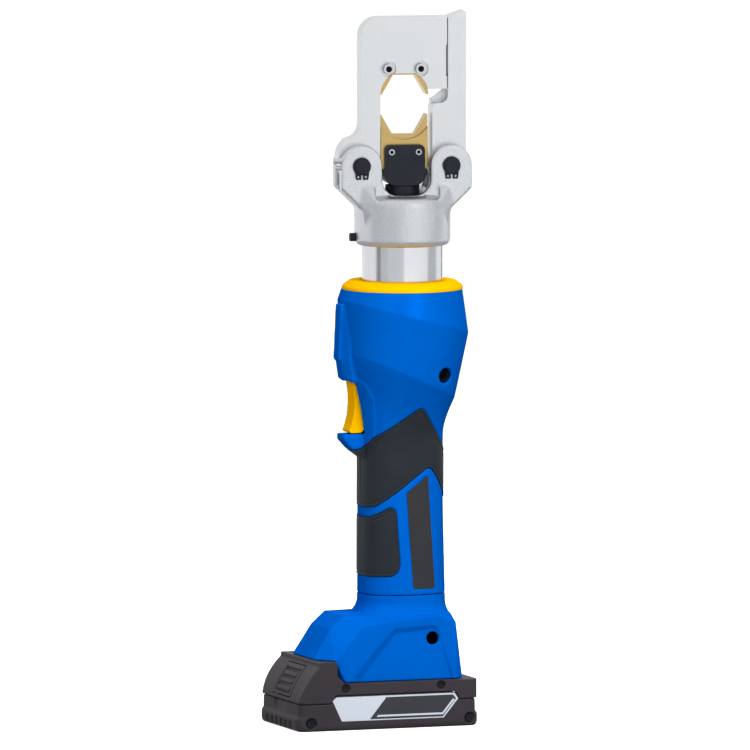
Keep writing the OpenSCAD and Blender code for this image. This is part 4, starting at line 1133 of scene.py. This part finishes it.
@dataclass
class Battery:
    """The slide battery with its plates, screws and release button."""

    finishes: Finishes
    front: float = -83.0
    rear: float = 39.0
    half_w: float = 37.5
    lower_h: float = 17.4
    hump: float = 44.0
    corner: float = 6.0
    lean: float = 16.5
    wall: float = 2.2
    bulge: float = 2.6
    # Depth of the screws' seats and of the plates' recesses
    seat: float = 2.4
    recess: float = 0.8
    arc_sides: int = 160
    plate: list[Point] = field(default_factory=lambda: [
        (-61, 19.6), (-58, 21.8), (22, 21.8), (24.6, 18), (14.6, 6), (-54.6, 6)])

    def build(self) -> None:
        """Builds and places all the pieces of the battery."""
        self._lower_case()
        self._upper_case()
        self._plates()
        self._button()
        self._screws()
        LOG.info("battery built")

    def _plan(self, inset: float, ends: float = 0.0) -> list[Point]:
        """Plan of the case, drawn in all round by an inset, and more at its two ends.

        Args:
            inset: Distance inwards all round.
            ends: Further distance inwards at the two ends.

        Returns:
            The corners and arcs of the plan in x and y.
        """
        x0, x1 = self.front - 1 + inset + ends, self.rear - inset - ends
        y1 = self.half_w - inset
        r = self.corner - inset
        corners = (((x1 - r, y1 - r), 0), ((x0 + r, y1 - r), 90), ((x0 + r, r - y1), 180),
                   ((x1 - r, r - y1), 270))
        return [p for centre, start in corners for p in arc(centre, r, start, start + 90, 10)]

    def _hump_centre(self) -> tuple[Point, float]:
        """Centre and radius of the hump's round front.

        Returns:
            The centre in x and z, and the radius.
        """
        low, high = Vector((self.front, self.lower_h + 0.4)), Vector((self.front + self.lean, self.hump))
        chord = (high - low).length
        radius = (chord**2 / 4 + self.bulge**2) / (2 * self.bulge)
        along = (high - low) / chord
        middle = (low + high) / 2 + Vector((along.y, -along.x)) * (radius - self.bulge)
        return (middle.x, middle.y), radius

    def _screw_places(self) -> list[Point3]:
        """Place along X, level and radius of the screws on each side."""
        return [(-51.6, SHOULDER - 2.9, 2.3), (12.9, SHOULDER - 2.9, 2.3),
                (self.front + 8, 5.2, 2.5), (self.rear - 6.5, 5.2, 2.5)]

    def _screw_seats(self, case: Solid) -> None:
        """Sinks the seats of the screws in a case.

        Args:
            case: The case that is cut.
        """
        for x, z, r in self._screw_places():
            rim = 1.2 if z < self.lower_h else 0.5
            for side in Side:
                case.cut(Solid.bolt(x, z, r + rim, *side.span(self.half_w - self.seat, FAR)))

    def _tab(self, grow: float) -> Solid:
        """The raised stretch of the lower case behind the plates.

        Args:
            grow: Distance by which it is made larger.

        Returns:
            The raised stretch.
        """
        top = self.lower_h + 5 + grow
        outline = [(-62 - grow, self.lower_h - OVER), (-58 - grow, top), (22.4 + grow, top),
                   (26 + grow, self.lower_h - OVER)]
        return Solid.across(outline, -self.half_w, self.half_w)

    def _lower_case(self) -> None:
        """The lower case with its slotted bumper and the thumb notch."""
        bumper = 8.5
        case = Solid.loft([
            [Vector((x, y, z)) for x, y in self._plan(inset, ends)]
            for inset, ends, z in ((2.0, 0, 0), (0.8, 0, 0.7), (0.2, 0, 2), (0, 0, 3.4), (0, 0, bumper - 1),
                                   (0, 0.4, bumper), (0, 1.4, bumper + 1.2), (0, 1.5, self.lower_h))])
        case.join(self._tab(0).keep(Solid.upright(self._plan(0, 1.5), 0, FAR)))
        case.cut(Solid.upright(self._plan(3.0), 2.6, FAR))
        for side in Side:
            case.cut(Solid.across(self.plate, *side.span(self.half_w - self.recess, FAR)))
        for k in range(-3, 3):
            y = 8.6 * (k + 0.5)
            case.cut(Solid.box((-FAR, y - 2.3, 0.9), (self.front + 0.6, y + 2.3, bumper - 2.6)))
        case.cut(Solid.hull([(x, y * side, z) for side in Side for x, y, z in (
            (self.front - 2, 15, self.lower_h + 1), (self.front - 2, 9, bumper + 2),
            (self.front + 2, 14, self.lower_h + 1), (self.front + 0.6, 8.6, bumper + 2.2))]))
        self._screw_seats(case)
        case.soften(0.5, 4).thin(0.45)
        case.piece("battery_lower_moulding", Body.BATTERY, Slot.BATTERY, self.finishes[Look.CASE],
                   "battery_lower_case")

    def _side_outline(self, inset: float) -> Solid:
        """Upper case between its front arc, its step and its shoulder.

        Args:
            inset: Distance inwards.

        Returns:
            The solid, wider than the case on both sides.
        """
        centre, radius = self._hump_centre()
        low = self.lower_h + 0.4 - (OVER if inset else 0)
        rear, top, hump_top = self.rear - inset, SHOULDER - inset, self.hump - inset
        step = STEP_X - inset
        disc = Solid.bolt(*centre, radius - inset, -FAR, FAR, self.arc_sides)
        body = Solid.across([(-FAR, low), (rear, low), (rear, top), (step + 5.6, top), (step + 0.2, top + 5),
                             (step, hump_top), (-FAR, hump_top)], -FAR, FAR)
        back = Solid.box((STEP_X - 12, -FAR, 0), (FAR, FAR, FAR))
        return body.keep(disc.join(back))

    def _upper_case(self) -> None:
        """The upper case with its hump and the slotted block of the contacts."""
        case = self._side_outline(0).keep(Solid.upright(self._plan(0, 0.3), 0, FAR))
        case.join(Solid.box((-50, -22, SHOULDER - 2), (25.5, 22, SHOULDER + 11)))
        case.cut(self._side_outline(self.wall).keep(Solid.upright(self._plan(3.0), 0, FAR)))
        case.cut(self._tab(0.2))
        case.cut(Solid.box((-47, -19, self.lower_h), (-13, 19, SHOULDER + 8)))
        for y in (-16, -6, 6, 16):
            case.cut(Solid.box((-7, y - 1.2, SHOULDER + 2), (FAR, y + 1.2, FAR)))
        case.cut(Solid.box((-FAR, -16.9, self.lower_h + 3), (self.front + 20, 16.9, self.hump - 4)))
        self._screw_seats(case)
        case.soften(0.5, 5).thin(0.45)
        case.piece("battery_upper_moulding", Body.BATTERY, Slot.BATTERY, self.finishes[Look.CASE],
                   "battery_upper_case")

    def _plates(self) -> None:
        """The bare plates, each with a dark panel and a stripe round it."""
        face = self.half_w
        panel = [(-35.6, 6.8), (-24.4, 20.6), (20.9, 20.6), (22.9, 18), (14.0, 6.8)]
        stripe = [(-31, 8.2), (-30, 9.4), (13.6, 9.4), (20.9, 18.2), (22.0, 17.4), (14.2, 8.2)]
        for side in Side:
            plate = Solid.across(drawn_in(self.plate, 0.1), *side.span(face - self.recess, face - 0.1))
            plate.cut(Solid.across(panel, *side.span(face - 0.5, face + OVER)))
            dark = Solid.across(drawn_in(panel, 0.04), *side.span(face - 0.5, face - 0.15))
            line = Solid.across(stripe, *side.span(face - 0.3, face - 0.08))
            for label, solid, bevel, slot, look in (
                    ("plate", plate, 0.12, Slot.PLATE, Look.PLATE),
                    ("panel", dark, 0.08, Slot.FILM, Look.PANEL),
                    ("stripe", line, 0.05, Slot.PLATE, Look.PLATE)):
                solid.crisp(bevel).piece(f"{side.prefix}side_{label}", Body.BATTERY, slot, self.finishes[look],
                                         "battery_side_plates")

    def _button(self) -> None:
        """The release button, curved as the hump, with bars in its tray."""
        centre, radius = self._hump_centre()
        low, high, back = self.lower_h + 3.4, self.hump - 4.4, self.front + 16
        half, bars, pitch = 16.5, 4, 4.4
        slab = Solid.bolt(*centre, radius + 0.3, -half, half, self.arc_sides)
        slab.cut(Solid.bolt(*centre, radius - 4, -FAR, FAR, self.arc_sides))
        slab.keep(Solid.box((-FAR, -FAR, low), (back, FAR, high)))
        tray = Solid.bolt(*centre, radius + 2, -half + 3, half - 3, self.arc_sides)
        tray.cut(Solid.bolt(*centre, radius - 1.1, -FAR, FAR, self.arc_sides))
        tray.keep(Solid.box((-FAR, -FAR, low + 1.6), (back, FAR, high - 1.6)))
        for k in range(bars):
            z = low + 3.2 + k * pitch
            tray.cut(Solid.box((-FAR, -half + 5.5, z), (FAR, half - 5.5, z + pitch / 2)))
        slab.cut(tray)
        slab.soften(0.35, 3).thin(0.4)
        slab.piece("release_button_moulding", Body.BUTTON, Slot.BATTERY, self.finishes[Look.CASE],
                   "release_button")

    def _screws(self) -> None:
        """The screws with their hexagon sockets."""
        for side in Side:
            for number, (x, z, r) in enumerate(self._screw_places()):
                head = Solid.bolt(x, z, r, *side.span(self.half_w - self.seat, self.half_w - 1.3))
                head.cut(Solid.bolt(x, z, r * 0.5, *side.span(self.half_w - 2.0, FAR), 6)).crisp(0.25)
                head.piece(f"{side.prefix}case_screw_{number}", Body.BATTERY, Slot.BLACK,
                           self.finishes[Look.BLACK], "battery_screws")


@dataclass
class Head:
    """The forged clevis, which is rounded all over, and small parts of the jaw."""

    finishes: Finishes
    # Angle of the head on the housing
    turn: float = -10.0
    # Level of the collar's upper lip
    lip: float = 339.0
    # Travel of the ram
    stroke: float = 12.2

    def build(self) -> None:
        """Builds and places the forging, the ram's spring and the small parts."""
        forging = Solid.from_node("head_base").join(*self._gussets()).soften(0.5, 36).thin(0.4)
        forging.piece("head_forging", Body.HEAD, Slot.FORGED, self.finishes[Look.CAST], "head_base")
        self._return_spring()
        self._stops()
        self._pin_holes()
        LOG.info("head built")

    def _gussets(self) -> list[Solid]:
        """The webs that run from the ears down over the collar, in front and at the back.

        Returns:
            The webs, to be joined to the collar.
        """
        lip = self.lip
        web = [(21, 16.5, lip + 8), (28, 16.5, lip + 6), (30.5, 16.5, lip - 4), (20.5, 22.4, lip - 2.5),
               (23.5, 20, lip - 11), (27.5, 15.5, lip - 17), (22, 10, lip - 8)]
        return [Solid.hull([(u * x, v * y, z) for x, y, z in web]).turned(self.turn)
                for u in Side for v in Side]

    def _return_spring(self) -> None:
        """The ram's spring, as a copy of its CAD node."""
        spring = Solid.from_node("return_spring")
        spring.piece("return_spring_coil", Body.HEAD, Slot.DRIVE, self.finishes[Look.DRIVE],
                     "return_spring")
        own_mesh(spring.obj)

    def _stops(self) -> None:
        """Two dowels in the outer side of the collar's front left ear."""
        root, sides = (-40.0, -13.4), 32
        for number, (z, radius, length) in enumerate(((361.6, 1.9, 7.0), (357.0, 1.5, 5.8))):
            profile = [(0.01, 0), (radius, 0), (radius, length - 0.5), (radius - 0.5, length), (0.01, length)]
            dowel = Solid.lathe(profile, sides)
            place = Matrix.Translation((*root, z)) @ Matrix.Rotation(math.radians(-90), 4, "Y")
            dowel.obj.data.transform(place)
            dowel.turned(self.turn)
            dowel.piece(f"ear_dowel_{number}", Body.HEAD, Slot.DRIVE, self.finishes[Look.DRIVE])

    def _pin_holes(self) -> None:
        """Near-black discs in the drilled ends of the die pins: painted shade of the deep holes."""
        for row, u, z, radius, front, back in (("upper", 10.4, 419.4, 1.8, -9.9, -7.45),
                                               ("lower", 8.7, 366.4, 1.05, -11.2, -10.35)):
            for side in Side:
                body = Body(f"{row}_pin_{side.name.lower()}")
                # Painted shade: a near-black disc where the pin's drilled end is deep and dark
                shade_disc = Solid.bolt(side * u, z, radius, front, back).turned(self.turn)
                shade_disc.piece(body.value + "_hole", body, Slot.BLACK, self.finishes[Look.DEEP])


@dataclass
class Fittings:
    """The CAD nodes that show as they are, with bevelled edges and a finish each."""

    finishes: Finishes

    def build(self) -> None:
        """Dresses every node that no new piece stands for."""
        for look, bevel, names in (
                (Look.TURNED, 0.4, "cylinder"),
                (Look.FORGED, 0.5, "swing_arm latch_arm"),
                (Look.GOLD, 0.3, "upper_die lower_die"),
                (Look.BLACK, 0.5, "die_holder cylinder_gland lock_screw arm_pin latch_pin ram"),
                (Look.BLACK, 0.15, "pin_circlips"),
                # The shell screws are painted near-black as the shade of their deep seats
                (Look.DEEP, 0.15, "shell_screws"),
                (Look.DRIVE, 0.25, "upper_die_pin_left upper_die_pin_right lower_die_pin_left "
                                   "lower_die_pin_right trigger_pin"),
                (Look.DRIVE, 0.0, "pump_block oil_line ring_gear motor_can shaft_bearings sun_gear "
                                  "planet_carrier planet_gear_1 planet_gear_2 planet_gear_3 pump_plunger"),
                (Look.RUBBER, 0.0, "oil_reservoir rotary_seal piston_seal terminal_block trigger_switch"),
                (Look.BRASS, 0.0, "terminal_blades motor_rotor eccentric_bearing"),
                (Look.BLACK, 0.0, "motor_magnets"),
                (Look.BOARD, 0.0, "control_board"),
                (Look.CELL, 0.0, "battery_cells")):
            for name in names.split():
                self._dress(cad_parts[name], self.finishes[look], bevel)
        LOG.info("fittings dressed")

    def _dress(self, obj: bpy.types.Object, material: bpy.types.Material, bevel: float) -> None:
        """Gives a node a finish, and bevels its edges if a bevel is wanted.

        Args:
            obj: The node's object.
            material: The finish.
            bevel: Width of the bevel, or 0 for none.
        """
        obj.data.materials.clear()
        obj.data.materials.append(material)
        if bevel:
            self._smooth(obj)
            add_bevel(obj, bevel * MM)

    @staticmethod
    def _smooth(obj: bpy.types.Object) -> None:
        """Joins split corners and shades the faces smooth, with a modifier.

        Args:
            obj: The object that gets the modifier.
        """
        name = "joined_and_smooth"
        tree = bpy.data.node_groups.get(name)
        if tree is None:
            tree = bpy.data.node_groups.new(name, "GeometryNodeTree")
            for way in ("INPUT", "OUTPUT"):
                tree.interface.new_socket("Geometry", in_out=way, socket_type="NodeSocketGeometry")
            start, end = add_node(tree, "NodeGroupInput"), add_node(tree, "NodeGroupOutput")
            merge = add_node(tree, "GeometryNodeMergeByDistance", {"Distance": WELD * MM})
            smooth = add_node(tree, "GeometryNodeSetShadeSmooth")
            wire(tree, (start, 0, merge, "Geometry"), (merge, "Geometry", smooth, 0), (smooth, 0, end, 0))
        modifier = obj.modifiers.new("smooth", "NODES")
        modifier.node_group = tree


@dataclass
class Studio:
    """Camera, lamps, floor and world.

    Attributes:
        azimuth: Where the camera stands round the tool, in degrees.
        elevation: How far it looks down, in degrees.
        distance: Its distance from the tool.
        picture: Width of the photograph, in picture elements.
        scale: Picture elements for each metre at the tool's axis.
        axis_px: Where the foot of the tool's axis lies in the photograph.
        ring: Distance of the reflecting cards from the axis.
    """

    azimuth: float = -20.0
    elevation: float = 5.3
    distance: float = 10.0
    picture: float = 750.0
    scale: float = 1562.0
    axis_px: Point = (402.2, 721.5)
    ring: float = 1.6

    def build(self) -> None:
        """Sets the camera, lamps, floor and world."""
        bpy.context.scene.view_settings.view_transform = "Standard"
        self._camera()
        self._lamp("key", (0.5, -1.7, 2.4), 1.0, 73.0)
        self._lamp("fill", (-1.7, -2.0, 1.3), 1.2, 33.0)
        self._lamp("top", (0.2, 0.9, 2.4), 1.2, 14.0)
        self._window()
        self._cards()
        self._floor()
        self._world()

    def _camera(self) -> None:
        """A far camera that lays the tool over its picture in the photograph."""
        a, e = math.radians(self.azimuth), math.radians(self.elevation)
        back = Vector((math.sin(a) * math.cos(e), -math.cos(a) * math.cos(e), math.sin(e)))
        right = Vector((math.cos(a), math.sin(a), 0))
        up = back.cross(right)
        middle = self.picture / 2
        target = right * (middle - self.axis_px[0]) / self.scale + up * (self.axis_px[1] - middle) / self.scale
        data = bpy.data.cameras.new("camera")
        data.sensor_width = 36.0
        data.lens = data.sensor_width * self.scale * self.distance / self.picture
        data.clip_end = 100.0
        camera = bpy.data.objects.new("camera", data)
        camera.location = target + back * self.distance
        camera.rotation_euler = back.to_track_quat("Z", "Y").to_euler()
        bpy.context.scene.collection.objects.link(camera)
        bpy.context.scene.camera = camera

    def _window(self) -> None:
        """A broad lamp that only shows as a sheen on the body and its ring."""
        lamp = self._lamp("window", (0.21, -1.58, 0.57), 0.7, 9.0)
        lamp.visible_glossy = True
        lamp.visible_diffuse = False
        body = bpy.data.collections.new("window_sheen")
        for name in ("left_shell_moulding", "right_shell_moulding", "collar_ring_moulding"):
            body.objects.link(bpy.data.objects[name])
        lamp.light_linking.receiver_collection = body

    @staticmethod
    def _lamp(name: str, place: Point3, size: float, power: float) -> bpy.types.Object:
        """A square soft box that faces the tool.

        Args:
            name: Name of the lamp.
            place: Its centre in metres.
            size: Its side in metres.
            power: Its power in watts.

        Returns:
            The lamp.
        """
        data = bpy.data.lights.new(name, "AREA")
        data.size = size
        data.energy = power
        lamp = bpy.data.objects.new(name, data)
        lamp.location = place
        lamp.visible_glossy = False
        lamp.rotation_euler = (Vector(place) - Vector((0, 0, 0.25))).to_track_quat("Z", "Y").to_euler()
        bpy.context.scene.collection.objects.link(lamp)
        return lamp

    @staticmethod
    def _plain(name: str, colour: float) -> bpy.types.Material:
        """A matt grey material.

        Args:
            name: Name of the material.
            colour: Level of grey, from 0 to 1.

        Returns:
            The material.
        """
        material = bpy.data.materials.new(name)
        material.use_nodes = True
        shader = material.node_tree.nodes["Principled BSDF"]
        set_sockets(shader, {"Base Color": (colour, colour, colour, 1), "Roughness": 0.9,
                             "Specular IOR Level": 0.0})
        return material

    @staticmethod
    def _sheet(name: str, half_w: float, half_h: float, place: Matrix,
               material: bpy.types.Material) -> bpy.types.Object:
        """A flat rectangle that is not part of the tool.

        Args:
            name: Name of the sheet.
            half_w: Half its width in metres.
            half_h: Half its height in metres.
            place: Where it lies and how it is turned.
            material: Its material.

        Returns:
            The sheet.
        """
        data = bpy.data.meshes.new(name)
        corners = [(x * half_w, y * half_h, 0) for x, y in ((-1, -1), (1, -1), (1, 1), (-1, 1))]
        data.from_pydata(corners, [], [(0, 1, 2, 3)])
        data.materials.append(material)
        obj = bpy.data.objects.new(name, data)
        obj.matrix_world = place
        bpy.context.scene.collection.objects.link(obj)
        return obj

    def _cards(self) -> None:
        """Cards that only reflections show: grey ones beside the tool, and a bright one high at the right."""
        high = 1.1
        for name, turn, half_w, low, level in (
                ("card_left", -37.5, 0.66, -0.3, 0.9), ("card_far_left", -80, 0.58, -0.3, 0.76),
                ("card_dark", -88, 0.22, -0.3, 0.3), ("card_right", 74, 0.5, -0.3, 0.7),
                ("card_edge", 128, 0.12, -0.3, 0.15), ("card_window", 12, 0.28, 0.8, 3.0)):
            material = self._glowing(name, level)
            place = (Matrix.Rotation(math.radians(turn), 4, "Z")
                     @ Matrix.Translation((0, -self.ring, (low + high) / 2))
                     @ Matrix.Rotation(math.radians(90), 4, "X"))
            self._hide(self._sheet(name, half_w, (high - low) / 2, place, material))
        under = self._glowing("card_under", 0.5)
        self._hide(self._sheet("card_under", 1.2, 1.2, Matrix.Translation((0, 0, 0.0005)), under))

    @staticmethod
    def _hide(card: bpy.types.Object) -> None:
        """Leaves a card to the reflections alone.

        Args:
            card: The card.
        """
        card.visible_camera = False
        card.visible_diffuse = False
        card.visible_shadow = False

    def _glowing(self, name: str, level: float) -> bpy.types.Material:
        """A plain material that glows at a level.

        Args:
            name: Name of the material.
            level: Level of the glow, where 1 is white.

        Returns:
            The material.
        """
        material = self._plain(name, 0.0)
        shader = material.node_tree.nodes["Principled BSDF"]
        set_sockets(shader, {"Emission Color": (level * 0.96, level * 0.98, level, 1),
                             "Emission Strength": 1.0})
        return material

    def _floor(self) -> None:
        """A floor that the camera and the reflections see as white, with the tool's shadow on it."""
        material = self._plain("floor_white", 0.4)
        tree = material.node_tree
        shader = tree.nodes["Principled BSDF"]
        set_sockets(shader, {"Emission Color": (1, 1, 1, 1)})
        seen = self._seen(tree)
        for socket, share, rest in (("Emission Strength", 0.77, 0.0), ("Base Color", 0.5, 0.3)):
            value = add_node(tree, "ShaderNodeMath", {1: share, 2: rest}, operation="MULTIPLY_ADD")
            tree.links.new(seen, value.inputs[0])
            wire(tree, (value, "Value", shader, socket))
        self._sheet("floor", 20.0, 20.0, Matrix.Identity(4), material)

    @staticmethod
    def _seen(tree: bpy.types.NodeTree) -> bpy.types.NodeSocket:
        """A value of 1 for rays of the camera, of reflections and of transmission, and of 0 for the others.

        Args:
            tree: The node tree that gets the nodes.

        Returns:
            The socket with the value.
        """
        path = add_node(tree, "ShaderNodeLightPath")
        value = path.outputs["Is Camera Ray"]
        for ray in ("Is Glossy Ray", "Is Transmission Ray"):
            larger = add_node(tree, "ShaderNodeMath", operation="MAXIMUM")
            tree.links.new(value, larger.inputs[0])
            wire(tree, (path, ray, larger, 1))
            value = larger.outputs["Value"]
        return value

    def _world(self) -> None:
        """White where it is seen or reflected, and dimmer as a light."""
        world = bpy.data.worlds.new("studio")
        bpy.context.scene.world = world
        world.use_nodes = True
        tree = world.node_tree
        tree.nodes.clear()
        white = add_node(tree, "ShaderNodeBackground", {"Color": (1, 1, 1, 1)})
        dim = add_node(tree, "ShaderNodeBackground", {"Color": (1, 1, 1, 1), "Strength": 0.3})
        mix, end = add_node(tree, "ShaderNodeMixShader"), add_node(tree, "ShaderNodeOutputWorld")
        tree.links.new(self._seen(tree), mix.inputs["Fac"])
        wire(tree, (dim, "Background", mix, 1), (white, "Background", mix, 2), (mix, "Shader", end, "Surface"))


def corners(bounds: tuple) -> list[list[float]]:
    """Two corners as plain lists."""
    return [[float(v) for v in corner] for corner in bounds]


def main() -> None:
    """Builds the tool and its studio."""
    logging.basicConfig(level=logging.INFO)
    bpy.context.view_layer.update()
    finishes = Finishes()
    housing = Housing(finishes)
    housing.build()
    Foot(finishes, housing.form).build()
    Trigger(finishes).build()
    Battery(finishes).build()
    Head(finishes).build()
    Fittings(finishes).build()
    Studio().build()


if __name__ == "__main__":
    main()
